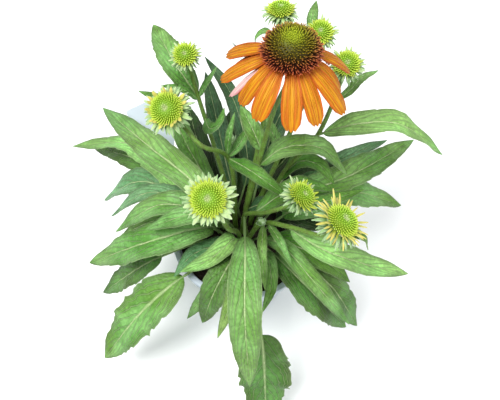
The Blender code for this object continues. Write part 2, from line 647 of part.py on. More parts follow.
def petal_mesh(name, bearing, droop, length, width, layer):
    """A petal that leaves the bloom almost level and bends down to its chord's droop."""
    outward = np.array([math.cos(math.radians(bearing)), math.sin(math.radians(bearing)), 0.0])
    up = np.array([0.0, 0.0, 1.0])
    base_height = -PETAL_BASE_DROP - layer * PETAL_LAYER_DROP
    first_slope = math.radians(droop * PETAL_FIRST_DROOP)
    last_slope = math.radians(min(droop * PETAL_LAST_DROOP, PETAL_STEEPEST))
    path = [outward * PETAL_ROOT_RADIUS + up * base_height,
            outward * PETAL_HINGE_RADIUS + up * (base_height + PETAL_HINGE_RISE)]
    step = length / PETAL_STEPS
    for index in range(PETAL_STEPS):
        slope = first_slope + (last_slope - first_slope) * index / (PETAL_STEPS - 1)
        path.append(path[-1] + (outward * math.cos(slope) - up * math.sin(slope)) * step)
    side = np.cross(outward, up)
    sections = []
    for index, (point, share) in enumerate(zip(path, PETAL_OUTLINE)):
        ahead = unit(path[min(index + 1, len(path) - 1)] - path[max(index - 1, 0)])
        normal = np.cross(side, ahead)
        half = side * share * width / 2
        edge, rib = normal * PETAL_HALF_THICKNESS, normal * PETAL_RIB_RISE
        sag = -normal * PETAL_EDGE_SAG * width * share
        sections.append([point - half + sag + edge, point + rib + edge, point + half + sag + edge,
                         point + half + sag - edge, point + rib - edge, point - half + sag - edge])
    return blade_mesh(name, sections)


def add_bloom(materials, collection):
    bm = bmesh.new()
    low = ring_of_verts(bm, CONE_SIDES, CONE_RADIUS * COLLAR_SHARE, -COLLAR_DEPTH)
    high = ring_of_verts(bm, CONE_SIDES, CONE_RADIUS * COLLAR_SHARE, -PETAL_RIB_RISE)
    bm.faces.new(list(reversed(low)))
    band_of_faces(bm, low, high)
    bm.faces.new(high)
    meshes = [bmesh_to_mesh(bm, "collar")]
    for index, petal in enumerate(PETALS):
        meshes.append(petal_mesh(f"petal_{index}", *petal))
    for mesh in meshes:
        placed(mesh, BLOOM_CENTRE, BLOOM_AXIS)
    join_by_union("bloom_petals", meshes, materials["petal"], collection)

    bm = bmesh.new()
    base = ring_of_verts(bm, CONE_SIDES, CONE_RADIUS * CONE_FOOT_SHARE, FIT_GAP + CONE_FOOT)
    rim = ring_of_verts(bm, CONE_SIDES, CONE_RADIUS * CONE_RIM_SHARE, FIT_GAP + CONE_RIM)
    bm.faces.new(list(reversed(base)))
    band_of_faces(bm, base, rim)
    add_florets(bm, rim, CONE_SIDES, CONE_ROWS, CONE_RADIUS, CONE_HEIGHT, FIT_GAP + CONE_RIM,
                SPINE_HEIGHT)
    cone = add_object("bloom_cone", bmesh_to_mesh(bm, "bloom_cone"), materials["cone"], collection)
    cone.location = Vector(BLOOM_CENTRE) * MM
    cone.rotation_mode = "QUATERNION"
    cone.rotation_quaternion = turned_to(BLOOM_AXIS)


def side_bud_meshes(core, centre):
    """A small unopened bud on its own short stalk, clasped by pointed bracts."""
    centre = np.array(centre, dtype=float)
    foot = nearest_on(core, centre - np.array([0, 0, SIDE_STALK_LENGTH]))
    stalk = tube_mesh("stalk", smooth_route([foot, (foot + centre) / 2, centre]),
                      SIDE_STALK_RADIUS, SIDE_STALK_RADIUS, [0, 0.5, 1])
    bm = bmesh.new()
    neck = ring_of_verts(bm, SIDE_BUD_SIDES, SIDE_BUD_RADIUS * SIDE_BUD_NECK, -SIDE_BUD_RADIUS)
    belly = ring_of_verts(bm, SIDE_BUD_SIDES, SIDE_BUD_RADIUS, 0.0)
    top = ring_of_verts(bm, SIDE_BUD_SIDES, SIDE_BUD_RADIUS * SIDE_BUD_TOP,
                        SIDE_BUD_RADIUS * SIDE_BUD_HEIGHT)
    bm.faces.new(list(reversed(neck)))
    lower = band_of_faces(bm, neck, belly)
    band_of_faces(bm, belly, top)
    bm.faces.new(top)
    grow_points(bm, lower, SIDE_BRACT_NARROWING, *SIDE_BRACT_STEP, *SIDE_BRACT_TIP)
    return [stalk, placed(bmesh_to_mesh(bm, "side_bud"), centre, centre - foot)]


def add_leafy_stems(materials, collection):
    for name in STEM_ROUTES:
        route = stem_route(name)
        out_of_soil = (ROOT_DEPTH + SOIL_CLEAR) / route_length(route)
        shares = [0.0] + list(np.linspace(out_of_soil, 1, STEM_STEPS))
        meshes = [tube_mesh("stem", route, STEM_FOOT_RADIUS, STEM_TOP_RADIUS, shares)]
        core = evenly_spaced(route_stations(route, shares)[0], len(route))
        for index, (width, fold, rib) in enumerate(STEM_LEAVES[name]):
            root = nearest_on(core, rib[0])
            meshes.append(leaf_mesh(f"{name}_leaf_{index}", [root] + rib[1:], width, fold,
                                    STEM_LEAF_STALK_SHARE, STEM_LEAF_BLADE_STEPS, rooted=False))
        for stem, centre in SIDE_BUDS:
            if stem == name:
                meshes += side_bud_meshes(core, centre)
        if name == "bloom":
            cup = receptacle_mesh("cup", CONE_RADIUS * CUP_SHARE, CUP_SIDES, STEM_TOP_RADIUS + NECK_FLARE)
            cup.transform(Matrix.Translation((0, 0, -COLLAR_DEPTH * MM)))
            meshes.append(placed(cup, BLOOM_CENTRE, BLOOM_AXIS))
        else:
            head = HEADS[name]
            cup = receptacle_mesh("cup", head["disc"], head["sides"], STEM_TOP_RADIUS + NECK_FLARE)
            meshes.append(placed(cup, head["centre"], head["axis"]))
        join_by_union("stem_" + name, meshes, materials["stem"], collection)


def turned_solid(name, profile, material, collection):
    """A solid turned round Z from a profile that runs down its outer side."""
    mesh = bpy.data.meshes.new(name)
    points = [(radius * MM, 0.0, height * MM) for radius, height in profile]
    edges = [(index, index + 1) for index in range(len(points) - 1)]
    mesh.from_pydata(points, edges, [])
    piece = add_object(name, mesh, material, collection)
    screw = piece.modifiers.new("Turn", "SCREW")
    screw.steps = POT_SIDES
    screw.render_steps = POT_SIDES
    screw.use_merge_vertices = True
    screw.merge_threshold = WELD_DISTANCE
    screw.use_smooth_shade = False
    return piece


def cut_with(piece, cutters):
    cut = piece.modifiers.new("Cut", "BOOLEAN")
    cut.operation = "DIFFERENCE"
    cut.solver = "EXACT"
    cut.operand_type = "COLLECTION"
    cut.collection = cutters


def add_cutter(name, radius, depth, sides, place, cutters):
    bm = bmesh.new()
    bmesh.ops.create_cone(bm, cap_ends=True, segments=sides, radius1=radius * MM,
                          radius2=radius * MM, depth=depth * MM)
    cutter = add_object(name, bmesh_to_mesh(bm, name), None, cutters)
    cutter.location = Vector(place) * MM
    cutter.hide_render = True
    cutter.display_type = "WIRE"
    return cutter


def wall_radius(height):
    """Outer radius of the pot's tapering wall at a height."""
    return POT_BASE_RADIUS + (POT_RIM_RADIUS - LIP_WIDTH - POT_BASE_RADIUS) * height / POT_HEIGHT


def add_pot(materials, collection):
    inner_top = wall_radius(POT_HEIGHT) - POT_WALL
    inner_bottom = wall_radius(POT_FLOOR) - POT_WALL
    lip_foot = POT_HEIGHT - LIP_HEIGHT
    profile = [
        (0, POT_FLOOR), (inner_bottom, POT_FLOOR), (inner_top, POT_HEIGHT - EDGE_ROUND),
        (inner_top + EDGE_ROUND, POT_HEIGHT), (POT_RIM_RADIUS - EDGE_ROUND, POT_HEIGHT),
        (POT_RIM_RADIUS, POT_HEIGHT - EDGE_ROUND), (POT_RIM_RADIUS - LIP_TAPER, lip_foot),
        (wall_radius(lip_foot), lip_foot), (wall_radius(EDGE_ROUND), EDGE_ROUND),
        (POT_BASE_RADIUS - EDGE_ROUND, 0), (0, 0),
    ]
    pot = turned_solid("pot", profile, materials["pot"], collection)
    cutters = new_collection("drain_cutters")
    for index in range(DRAIN_HOLES):
        bearing = math.tau * (index + 0.5) / DRAIN_HOLES
        place = (DRAIN_RING_RADIUS * math.cos(bearing), DRAIN_RING_RADIUS * math.sin(bearing), 0)
        add_cutter(f"drain_{index}", DRAIN_RADIUS, DRAIN_CUT, DRAIN_SIDES, place, cutters)
    cut_with(pot, cutters)


def tag_matrix():
    """The tag's own frame: x across it, y up its face from the foot and z out of its face."""
    foot, top = Vector(TAG_FOOT), Vector(TAG_TOP)
    up = (top - foot).normalized()
    across = up.cross(Vector(TAG_FACING)).normalized()
    facing = across.cross(up)
    frame = Matrix((across, up, facing)).transposed().to_4x4()
    return Matrix.Translation(foot * MM) @ frame


def tag_outline(grow=0.0):
    """The tag's outline in its own frame: a pointed stake under a board with round corners."""
    length = (Vector(TAG_TOP) - Vector(TAG_FOOT)).length
    half, stake, corner = TAG_WIDTH / 2, TAG_STAKE_WIDTH / 2 + grow, TAG_CORNER
    shoulder = length - TAG_HEIGHT
    low_rise, high_rise = TAG_SHOULDER_RISES
    right = [(0, -grow), (stake, TAG_POINT_LENGTH), (stake, shoulder - TAG_NECK_DROP),
             (half - TAG_SHOULDER_IN, shoulder + low_rise), (half, shoulder + high_rise)]
    for step in range(TAG_CORNER_STEPS + 1):
        angle = math.radians(90 * step / TAG_CORNER_STEPS)
        right.append((half - corner + corner * math.cos(angle), length - corner + corner * math.sin(angle)))
    return right + [(-x, y) for x, y in reversed(right) if x > 0]


def flat_mesh(name, outline, thickness, matrix):
    """A flat sheet from a filled outline, as a welded mesh."""
    curve = bpy.data.curves.new(name, "CURVE")
    curve.dimensions = "2D"
    curve.fill_mode = "BOTH"
    curve.extrude = thickness / 2 * MM
    spline = curve.splines.new("POLY")
    spline.points.add(len(outline) - 1)
    spline.use_cyclic_u = True
    for point, (x, y) in zip(spline.points, outline):
        point.co = (x * MM, y * MM, 0, 1)
    guide = bpy.data.objects.new(name, curve)
    bpy.context.scene.collection.objects.link(guide)
    depsgraph = bpy.context.evaluated_depsgraph_get()
    mesh = bpy.data.meshes.new_from_object(guide.evaluated_get(depsgraph))
    bpy.data.objects.remove(guide, do_unlink=True)
    bm = bmesh.new()
    bm.from_mesh(mesh)
    bmesh.ops.remove_doubles(bm, verts=bm.verts, dist=WELD_DISTANCE)
    bmesh.ops.recalc_face_normals(bm, faces=bm.faces)
    bm.to_mesh(mesh)
    bm.free()
    mesh.transform(matrix)
    return mesh


def add_tag(materials, collection):
    mesh = flat_mesh("plant_tag", tag_outline(), TAG_THICKNESS, tag_matrix())
    add_object("plant_tag", mesh, materials["tag"], collection)


def add_soil(materials, collection):
    """Soil to the pot's wall, with a plain hole for each leaf stalk, each stem and the tag."""
    top_radius = wall_radius(SOIL_EDGE) - POT_WALL - FIT_GAP
    bottom = POT_FLOOR + FIT_GAP
    bottom_radius = wall_radius(bottom) - POT_WALL - FIT_GAP
    profile = [(0, SOIL_CROWN), (SOIL_CROWN_RADIUS, SOIL_CROWN), (top_radius, SOIL_EDGE),
               (bottom_radius, bottom), (0, bottom)]
    soil = turned_solid("soil", profile, materials["soil"], collection)
    cutters = new_collection("soil_cutters")
    holes = [(root, STALK_HALF_WIDTH) for _, root, _, _, _ in BASAL_LEAVES + INNER_LEAVES]
    holes += [(route[0], STEM_FOOT_RADIUS) for route in STEM_ROUTES.values()]
    depth = 2 * (ROOT_DEPTH + FIT_GAP)
    for index, ((x, y), radius) in enumerate(holes):
        corner = (radius + HOLE_CLEARANCE) / math.cos(math.pi / HOLE_SIDES)
        add_cutter(f"hole_{index}", corner, depth, HOLE_SIDES, (x, y, SOIL_CROWN), cutters)
    slot = flat_mesh("tag_slot", tag_outline(grow=FIT_GAP), TAG_THICKNESS + 2 * FIT_GAP, tag_matrix())
    slot_cutter = add_object("tag_slot", slot, None, cutters)
    slot_cutter.hide_render = True
    slot_cutter.display_type = "WIRE"
    cut_with(soil, cutters)


def main():
    clear_scene()
    plant = new_collection("potted_coneflower")
    materials = make_materials()
    add_pot(materials, plant)
    add_soil(materials, plant)
    add_tag(materials, plant)
    add_basal_leaves(materials, plant)
    add_leafy_stems(materials, plant)
    add_bud_heads(materials, plant)
    add_bloom(materials, plant)


main()
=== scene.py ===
"""Looks of the potted coneflower: leaves, stems, flower heads, pot, soil, tag and studio stage.

Lengths in the tables are millimetres and become metres through MM; the ribs and routes are the
frame's own.
"""
import math
import random

import bpy
import numpy as np
from bpy.props import FloatProperty, FloatVectorProperty, IntProperty, PointerProperty
from mathutils import Matrix, Vector, noise


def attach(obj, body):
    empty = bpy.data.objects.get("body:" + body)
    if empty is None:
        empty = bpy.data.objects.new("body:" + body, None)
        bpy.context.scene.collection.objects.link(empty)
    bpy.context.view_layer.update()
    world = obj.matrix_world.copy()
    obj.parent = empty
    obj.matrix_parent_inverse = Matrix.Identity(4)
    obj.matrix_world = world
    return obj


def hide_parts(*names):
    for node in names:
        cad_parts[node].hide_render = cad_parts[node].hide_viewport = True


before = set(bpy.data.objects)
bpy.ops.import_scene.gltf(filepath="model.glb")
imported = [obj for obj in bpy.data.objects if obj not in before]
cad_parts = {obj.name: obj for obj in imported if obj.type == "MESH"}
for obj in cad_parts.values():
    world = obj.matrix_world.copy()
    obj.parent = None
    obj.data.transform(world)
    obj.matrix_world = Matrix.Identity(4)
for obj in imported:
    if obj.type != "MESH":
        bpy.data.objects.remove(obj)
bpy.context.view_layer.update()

bl_info = {
    "name": "Potted coneflower looks",
    "version": (1, 0, 0),
    "blender": (4, 5, 0),
    "location": "View3D > Sidebar > Coneflower",
    "description": "Builds the visible leaves, flowers, pot and stage round the packed plant",
    "category": "Object",
}

MM = 0.001
UP = np.array([0.0, 0.0, 1.0])

# Camera: the photograph's height and tilt, with a lens that is as long as its sensor is wide
CAMERA_PLACE = (0.00735, -0.2187, 0.5983)
CAMERA_TILT = math.radians(28.0)
CAMERA_LENS = 36.0
CAMERA_SENSOR = 36.0

# Pot and soil, as in the frame
POT_HEIGHT = 120.0
POT_RIM_RADIUS = 75.0
POT_BASE_RADIUS = 52.0
POT_WALL = 1.8
POT_FLOOR = 2.4
LIP_WIDTH = 4.0
LIP_HEIGHT = 9.0
DRAIN_HOLES = 6
DRAIN_RADIUS = 5.0
DRAIN_RING_RADIUS = 38.0
SOIL_CROWN = 112.0
SOIL_EDGE = 108.0
SOIL_CROWN_RADIUS = 32.0
FIT_GAP = 0.35
ROOT_DEPTH = 9.0

# Leaf proportions, as in the frame
STALK_RADIUS = 1.35
WIDEST_AT = 0.39
TIP_TAPER = 0.8
BASAL_STALK_SHARE = 0.22
STEM_LEAF_STALK_SHARE = 0.04
BASAL_LEVEL_SHARE = 0.43
STEM_LEAF_LEVEL_SHARE = 0.5
LEAF_COLUMNS = 24
LEAF_ROWS = 72

# Share of each painted colour that its surface sends back under the bright studio light
PAINT_SHARE = 0.8

# Side veins: pairs that leave the rib, their sweep forward, how near the edge they reach, and
# the share of their gaps that is left there
VEIN_PAIRS = 7.0
VEIN_SWEEP = 0.24
VEIN_REACH = 0.985
VEIN_EDGE_GAP = 0.1

# Routes: steps between two given points, evenly spaced points, and vertices merged in a tube
STEPS_A_SPAN = 24
ROUTE_POINTS = 160
MERGE_DISTANCE = 0.000005

# Basal leaves: name, root on the soil, greatest width, fold, rib from stalk to tip
BASAL_LEAVES = [
    ("leaf_left_back_pale", (-16, 15), 22, 18, [(-53, 60, 180), (-75, 86, 222), (-97, 92, 232)]),
    ("leaf_left_scalloped", (-17, 9), 27, 12, [(-62, 28, 160), (-114, 79, 160), (-197, 107, 118)]),
    ("leaf_left_under", (-22, 13), 30, 10, [(-66, 33, 134), (-113, 75, 135), (-179, 117, 100)]),
    ("leaf_left_glossy", (-22, 6), 35, 14, [(-54, 25, 145), (-108, 44, 145), (-157, 46, 100)]),
    ("leaf_left_narrow", (-16, 2), 21, 14, [(-51, 9, 165), (-92, 20, 165), (-141, 17, 118)]),
    ("leaf_left_long", (-13, -3), 27, 14, [(-40, -7, 180), (-76, -4, 185), (-128, -10, 138)]),
    ("leaf_left_short", (-9, 2), 25, 14, [(-28, -12, 186), (-50, -22, 199), (-89, -26, 178)]),
    ("leaf_left_shaded", (-27, 1), 22, 10, [(-61, 14, 128), (-97, 7, 125), (-134, 4, 95)]),
    ("leaf_left_broad", (-20, -4), 36, 12, [(-36, -15, 158), (-82, -31, 165), (-164, -27, 95)]),
    ("leaf_left_low", (-26, -8), 31, 10, [(-49, -19, 128), (-95, -35, 118), (-158, -46, 52)]),
    ("leaf_front_left_broad", (-20, -15), 46, 10,
     [(-38, -39, 128), (-68, -63, 131), (-102, -86, 108), (-147, -117, 50)]),
    ("leaf_front_left_grey", (-14, -11), 17, 16,
     [(-22, -25, 141), (-48, -39, 148), (-66, -58, 138)]),
    ("leaf_front_left_bright", (-9, -10), 20, 16,
     [(-9, -25, 152), (-31, -46, 154), (-59, -55, 144)]),
    ("leaf_front_slim", (-15, -23), 14, 14, [(-12, -43, 138), (-32, -70, 134), (-58, -83, 80)]),
    ("leaf_front_dark", (-8, -24), 28, 12, [(-12, -46, 146), (-26, -74, 143), (-40, -93, 102)]),
    ("leaf_front_lime", (-2, -17), 14, 14, [(-3, -58, 162), (-11, -92, 160), (-23, -113, 124)]),
    ("leaf_front_long", (3, -26), 50, 10, [(9, -55, 134), (19, -112, 112), (24, -174, 32)]),
    ("leaf_front_fold", (10, -25), 14, 20, [(24, -44, 152), (27, -71, 150), (19, -92, 136)]),
    ("leaf_right_front_long", (11, -9), 17, 12, [(37, -38, 168), (64, -70, 164), (107, -93, 96)]),
    ("leaf_right_front_low", (21, -19), 36, 10, [(29, -31, 134), (64, -66, 128), (111, -86, 56)]),
    ("leaf_right_front_wide", (18, -13), 34, 12, [(42, -32, 142), (82, -64, 138), (121, -87, 66)]),
    ("leaf_right_front_round", (16, -7), 26, 14, [(46, -30, 154), (78, -50, 158), (103, -63, 138)]),
    ("leaf_right_broad", (22, 1), 39, 12, [(48, 9, 145), (105, 29, 150), (175, 37, 105)]),
    ("leaf_right_long", (19, 9), 31, 14, [(43, 20, 150), (102, 35, 168), (188, 99, 142)]),
    ("leaf_right_back_blue", (20, 17), 19, 14, [(49, 34, 140), (109, 73, 145), (166, 114, 120)]),
    ("leaf_back_mid", (-6, 26), 18, 14, [(5, 55, 160), (-9, 107, 200), (-40, 161, 205)]),
    ("leaf_back_thin", (1, 30), 10, 14, [(20, 70, 165), (20, 133, 205), (-11, 168, 218)]),
    ("leaf_back_left_dark", (-4, 20), 22, 14, [(-16, 55, 150), (-30, 111, 180), (-41, 158, 185)]),
    ("leaf_back_far", (8, 21), 26, 12, [(16, 49, 140), (37, 109, 165), (65, 170, 150)]),
]
# Inner leaves fill the crown between the others; their near-black tone is painted shade in the
# crown
INNER_LEAVES = [
    ("leaf_inner_right", (19, 25), 24, 14, [(42, 44, 150), (66, 54, 166), (98, 50, 158)]),
    ("leaf_inner_low", (28, 3), 34, 12, [(44, 10, 132), (72, 8, 134), (112, 12, 112)]),
    ("leaf_inner_back", (-13, 24), 30, 12, [(-8, 62, 135), (-14, 92, 152), (-14, 130, 155)]),
    ("leaf_inner_back_left", (-20, 22), 26, 12, [(-38, 62, 140), (-52, 100, 152), (-62, 140, 150)]),
    ("leaf_inner_back_right", (13, 31), 26, 12, [(30, 60, 130), (56, 84, 145), (82, 104, 140)]),
]
# Leaves with a long bare stalk, by its share of the leaf's length
LONG_STALKS = {"leaf_left_low": 0.42, "leaf_front_left_broad": 0.34, "leaf_front_long": 0.5,
               "right_mid_0": 0.2}

# Stems: the route of each from the soil upwards, short of its flower head
STEM_FOOT_RADIUS = 2.3
STEM_TOP_RADIUS = 1.5
STEM_NECK = 14.0
STEM_ROUTES = {
    "bloom": [(-1, 2), (18, 27, 230), (27, 30, 285)],
    "upper_left": [(-8, 8), (-13, 38, 200), (-36, 26, 240)],
    "top_left": [(-9, 15), (-21, 43, 170), (-40, 79, 240)],
    "top_mid": [(1, 14), (18, 56, 220), (30, 92, 280)],
    "top_right": [(8, 12), (38, 47, 200), (64, 84, 262)],
    "right_top": [(13, 6), (42, 37, 180), (69, 47, 225)],
    "right_mid": [(4, -6), (2, -3, 160), (22, -17, 195)],
    "right_low": [(4, -13), (19, -16, 170), (42, -36, 205)],
    "front_left": [(-3, -10), (-5, -16, 150), (-12, -28, 184)],
}

# Leaves on each stem: greatest width, fold, rib from the stem to the tip
STEM_LEAVES = {
    "bloom": [
        (22, 14, [(14, 25, 208), (38, 28, 232), (69, 28, 232), (96, 17, 205)]),
        (16, 14, [(18, 28, 228), (9, 40, 245), (-1, 60, 250)]),
        (17, 14, [(4, 8, 150), (22, 4, 172), (46, 2, 172)]),
    ],
    "upper_left": [
        (16, 14, [(-12, 37, 200), (12, 6, 224), (44, -13, 210)]),
        (7, 14, [(-14, 40, 204), (-11, 44, 232), (-6, 57, 245)]),
        (10, 14, [(-11, 39, 202), (-1, 46, 215), (9, 68, 215)]),
    ],
    "top_left": [
        (25, 18, [(-41, 79, 238), (-57, 90, 268), (-83, 146, 262)]),
        (9, 14, [(-41, 78, 236), (-54, 73, 258), (-72, 81, 252)]),
        (7, 14, [(-39, 78, 240), (-31, 79, 258), (-22, 92, 264)]),
        (12, 14, [(-35, 70, 220), (-29, 53, 226), (-21, 53, 232), (-16, 69, 236)]),
    ],
    "top_mid": [
        (6, 14, [(30, 92, 280), (21, 104, 294), (13, 104, 288), (12, 109, 272)]),
    ],
    "top_right": [
        (10, 16, [(66, 94, 276), (61, 116, 288), (68, 157, 280)]),
        (12, 14, [(38, 47, 200), (28, 57, 215), (19, 75, 222)]),
    ],
    "right_top": [
        (25, 14, [(69, 47, 225), (99, 43, 246), (138, 48, 240), (192, 45, 195)]),
        (9, 14, [(79, 62, 252), (93, 70, 256), (106, 88, 252), (128, 110, 240)]),
        (18, 14, [(38, 33, 168), (56, 42, 188), (74, 36, 190), (88, 20, 182)]),
    ],
    "right_mid": [
        (29, 18, [(1, -3, 160), (3, -52, 190), (3, -108, 186), (7, -155, 118)]),
        (14, 14, [(29, -19, 205), (71, -7, 195), (117, 15, 180)]),
        (20, 14, [(12, -10, 178), (54, 13, 192), (86, 13, 182)]),
    ],
    "right_low": [
        (9, 14, [(20, -18, 172), (18, -51, 184), (21, -78, 160)]),
        (8, 14, [(24, -21, 178), (35, -45, 190), (44, -60, 180)]),
        (24, 14, [(38, -35, 202), (67, -56, 205), (106, -62, 185), (156, -59, 150)]),
        (8, 14, [(68, -50, 234), (88, -57, 238), (98, -58, 232), (105, -61, 214)]),
    ],
    "front_left": [
        (28, 12, [(-13, -32, 205), (-39, -9, 232), (-82, 33, 225), (-145, 109, 185)]),
    ],
}

# Unopened side buds: the stem that carries each and the bud's centre
SIDE_BUDS = [("upper_left", (-10, 50, 212)), ("right_low", (18, -23, 188))]
SIDE_BUD_RADIUS = 3.6

# Flower heads: centre of the ray plane, direction faced, disc radius, dome height and ray reach
HEADS = {
    "upper_left": dict(centre=(-61, 40, 270), axis=(-0.14, -0.39, 0.89), disc=14.0, dome=7.0,
                       ray=6.5, own_rays=True),
    "top_left": dict(centre=(-46, 80, 290), axis=(-0.05, -0.35, 0.93), disc=8.5, dome=5.0,
                     ray=4.5, own_rays=False),
    "top_mid": dict(centre=(32, 103, 315), axis=(0.0, 0.15, 0.98), disc=9.5, dome=5.5,
                    ray=4.5, own_rays=False),
    "top_right": dict(centre=(65, 95, 300), axis=(-0.1, -0.3, 0.95), disc=9.5, dome=5.5,
                      ray=4.5, own_rays=False),
    "right_top": dict(centre=(86, 70, 290), axis=(-0.05, -0.3, 0.95), disc=10.0, dome=5.5,
                      ray=5.0, own_rays=False),
    "right_mid": dict(centre=(49.5, -21.8, 235), axis=(0.5, 0.0, 0.85), disc=11.0, dome=6.0,
                      ray=6.5, own_rays=False),
    "right_low": dict(centre=(77.5, -52.7, 250), axis=(0.45, 0.1, 0.85), disc=14.0, dome=7.0,
                      ray=12.0, own_rays=True),
    "front_left": dict(centre=(-24, -41, 265), axis=(-0.05, -0.35, 0.93), disc=13.5, dome=7.0,
                       ray=7.0, own_rays=True),
}
RECEPTACLE_DEPTH = 0.6
RAY_PLATE = 1.2

# Bloom: a domed cone of spines over drooping petals, which turn further down at the back
BLOOM_CENTRE = (36, 35, 337)
BLOOM_AXIS = (0.0, -0.01, 1.0)
CONE_RADIUS = 18.0
CONE_HEIGHT = 17.0
PETAL_ROOT_RADIUS = 12.5
PETAL_HINGE_RADIUS = 17.5
PETAL_LAYER_DROP = 1.3
COLLAR_DEPTH = 3.2
# Petals: bearing round the bloom, droop, length, width and layer, counted down from the cone
PETALS = [
    (9, 42, 38, 14, 0), (338, 50, 34, 13, 0), (319, 36, 41, 15, 0), (294, 43, 39, 14, 0),
    (270, 42, 40, 15, 0), (238, 43, 38, 15, 0), (212, 50, 37, 14, 0), (188, 30, 38, 14, 0),
    (158, 32, 38, 14, 0), (174, 42, 36, 11, 1), (200, 42, 38, 11, 1), (34, 62, 37, 13, 0),
    (60, 66, 37, 13, 0), (86, 33, 37, 12, 0), (111, 64, 37, 13, 0), (135, 60, 37, 13, 0),
]


class FoliageSettings(bpy.types.PropertyGroup):
    blade_thickness: FloatProperty(
        name="Blade thickness", description="Thickness of a leaf blade",
        default=0.0005, min=0.0002, max=0.002, unit="LENGTH", precision=4)
    tooth_depth: FloatProperty(
        name="Tooth depth", description="Depth of the edge's teeth as a share of the half width",
        default=0.05, min=0.0, max=0.2)
    edge_wave: FloatProperty(
        name="Edge wave",
        description="Rise and fall of the blade's edge as a share of the half width",
        default=0.11, min=0.0, max=0.3)
    hairs_a_stem: IntProperty(
        name="Hairs a stem", description="Fine hairs on each flower stem",
        default=320, min=1, max=2000)
    vein_depth: FloatProperty(
        name="Vein depth", description="How deep the veins sink into the upper face",
        default=0.0005, min=0.0, max=0.001, unit="LENGTH", precision=5)
    leaf_green: FloatVectorProperty(
        name="Leaf green", description="Main green of the upper face", subtype="COLOR",
        default=(0.108, 0.275, 0.034), min=0.0, max=1.0)
    leaf_pale: FloatVectorProperty(
        name="Leaf bloom", description="Pale grey-green where the upper face catches the light",
        subtype="COLOR", default=(0.245, 0.475, 0.125), min=0.0, max=1.0)
    rib_cream: FloatVectorProperty(
        name="Rib", description="Pale green of ribs and stalks", subtype="COLOR",
        default=(0.52, 0.62, 0.32), min=0.0, max=1.0)
    stem_green: FloatVectorProperty(
        name="Stem", description="Green of the flower stems", subtype="COLOR",
        default=(0.14, 0.28, 0.035), min=0.0, max=1.0)


class FlowerSettings(bpy.types.PropertyGroup):
    cone_spines: IntProperty(
        name="Cone spines", description="Spines over the open bloom's cone",
        default=760, min=50, max=1200)
    disc_florets: IntProperty(
        name="Disc florets", description="Florets over the largest bud's disc",
        default=260, min=40, max=800)
    petal_orange: FloatVectorProperty(
        name="Petal", description="Orange of a petal's middle", subtype="COLOR",
        default=(0.63, 0.265, 0.003), min=0.0, max=1.0)
    petal_red: FloatVectorProperty(
        name="Petal edge", description="Red-orange of a petal's edges and stripes", subtype="COLOR",
        default=(0.50, 0.070, 0.002), min=0.0, max=1.0)
    floret_lime: FloatVectorProperty(
        name="Florets", description="Lime of the florets on an unopened disc", subtype="COLOR",
        default=(0.31, 0.58, 0.035), min=0.0, max=1.0)
    ray_cream: FloatVectorProperty(
        name="Rays", description="Cream green of the young rays", subtype="COLOR",
        default=(0.50, 0.68, 0.26), min=0.0, max=1.0)


class PotSettings(bpy.types.PropertyGroup):
    pot_sides: IntProperty(
        name="Pot sides", description="Facets round the pot", default=120, min=24, max=256)
    crumbs: IntProperty(
        name="Soil crumbs", description="Loose crumbs on the soil", default=420, min=0, max=2000)
    pot_colour: FloatVectorProperty(
        name="Pot", description="Pale blue-grey plastic of the pot", subtype="COLOR",
        default=(0.58, 0.66, 0.76), min=0.0, max=1.0)
    soil_colour: FloatVectorProperty(
        name="Soil", description="Near-black damp peat", subtype="COLOR",
        default=(0.020, 0.014, 0.010), min=0.0, max=1.0)
    tag_colour: FloatVectorProperty(
        name="Tag", description="Pale blue-white of the blank plant tag", subtype="COLOR",
        default=(0.70, 0.79, 0.87), min=0.0, max=1.0)


class StageSettings(bpy.types.PropertyGroup):
    floor_colour: FloatVectorProperty(
        name="Floor", description="Plain pale floor", subtype="COLOR",
        default=(0.96, 0.965, 0.97), min=0.0, max=1.0)
    key_power: FloatProperty(
        name="Key light", description="Power of the large soft light over the left front",
        default=17.5, min=0.0, max=200.0, unit="POWER")
    fill_power: FloatProperty(
        name="Fill light", description="Power of the soft light from the right",
        default=6.6, min=0.0, max=200.0, unit="POWER")
    sky: FloatProperty(
        name="Sky", description="Strength of the even white surroundings",
        default=0.72, min=0.0, max=3.0)


def deselect_all():
    if bpy.context.object is not None and bpy.context.object.mode != "OBJECT":
        bpy.ops.object.mode_set(mode="OBJECT")
    bpy.ops.object.select_all(action="DESELECT")


def make_active(piece):
    deselect_all()
    piece.select_set(True)
    bpy.context.view_layer.objects.active = piece


def join_pieces(name, pieces):
    """One object from several, which keeps each face's own material."""
    deselect_all()
    for piece in pieces:
        piece.select_set(True)
    bpy.context.view_layer.objects.active = pieces[0]
    if len(pieces) > 1:
        bpy.ops.object.join()
    joined = bpy.context.object
    joined.name = joined.data.name = name
    return joined


def give(piece, *materials):
    piece.data.materials.clear()
    for material in materials:
        piece.data.materials.append(material)
    return piece


def give_all(piece, material):
    """One material for every face, also of a piece joined from several."""
    give(piece, material)
    piece.data.polygons.foreach_set("material_index",
                                    np.zeros(len(piece.data.polygons), dtype=np.int32))
    return piece


def finish_piece(piece, slot, *nodes, smooth_below=50.0):
    make_active(piece)
    bpy.ops.object.shade_smooth_by_angle(angle=math.radians(smooth_below))
    piece.select_set(False)
    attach(piece, "root")
    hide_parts(*nodes)


def coordinates(mesh):
    flat = np.empty(len(mesh.vertices) * 3)
    mesh.vertices.foreach_get("co", flat)
    return flat.reshape(-1, 3)


def set_coordinates(mesh, places):
    mesh.vertices.foreach_set("co", np.asarray(places, dtype=float).ravel())
    mesh.update()


def store_share(mesh, name, values):
    layer = mesh.attributes.new(name, "FLOAT", "POINT")
    layer.data.foreach_set("value", np.asarray(values, dtype=float))


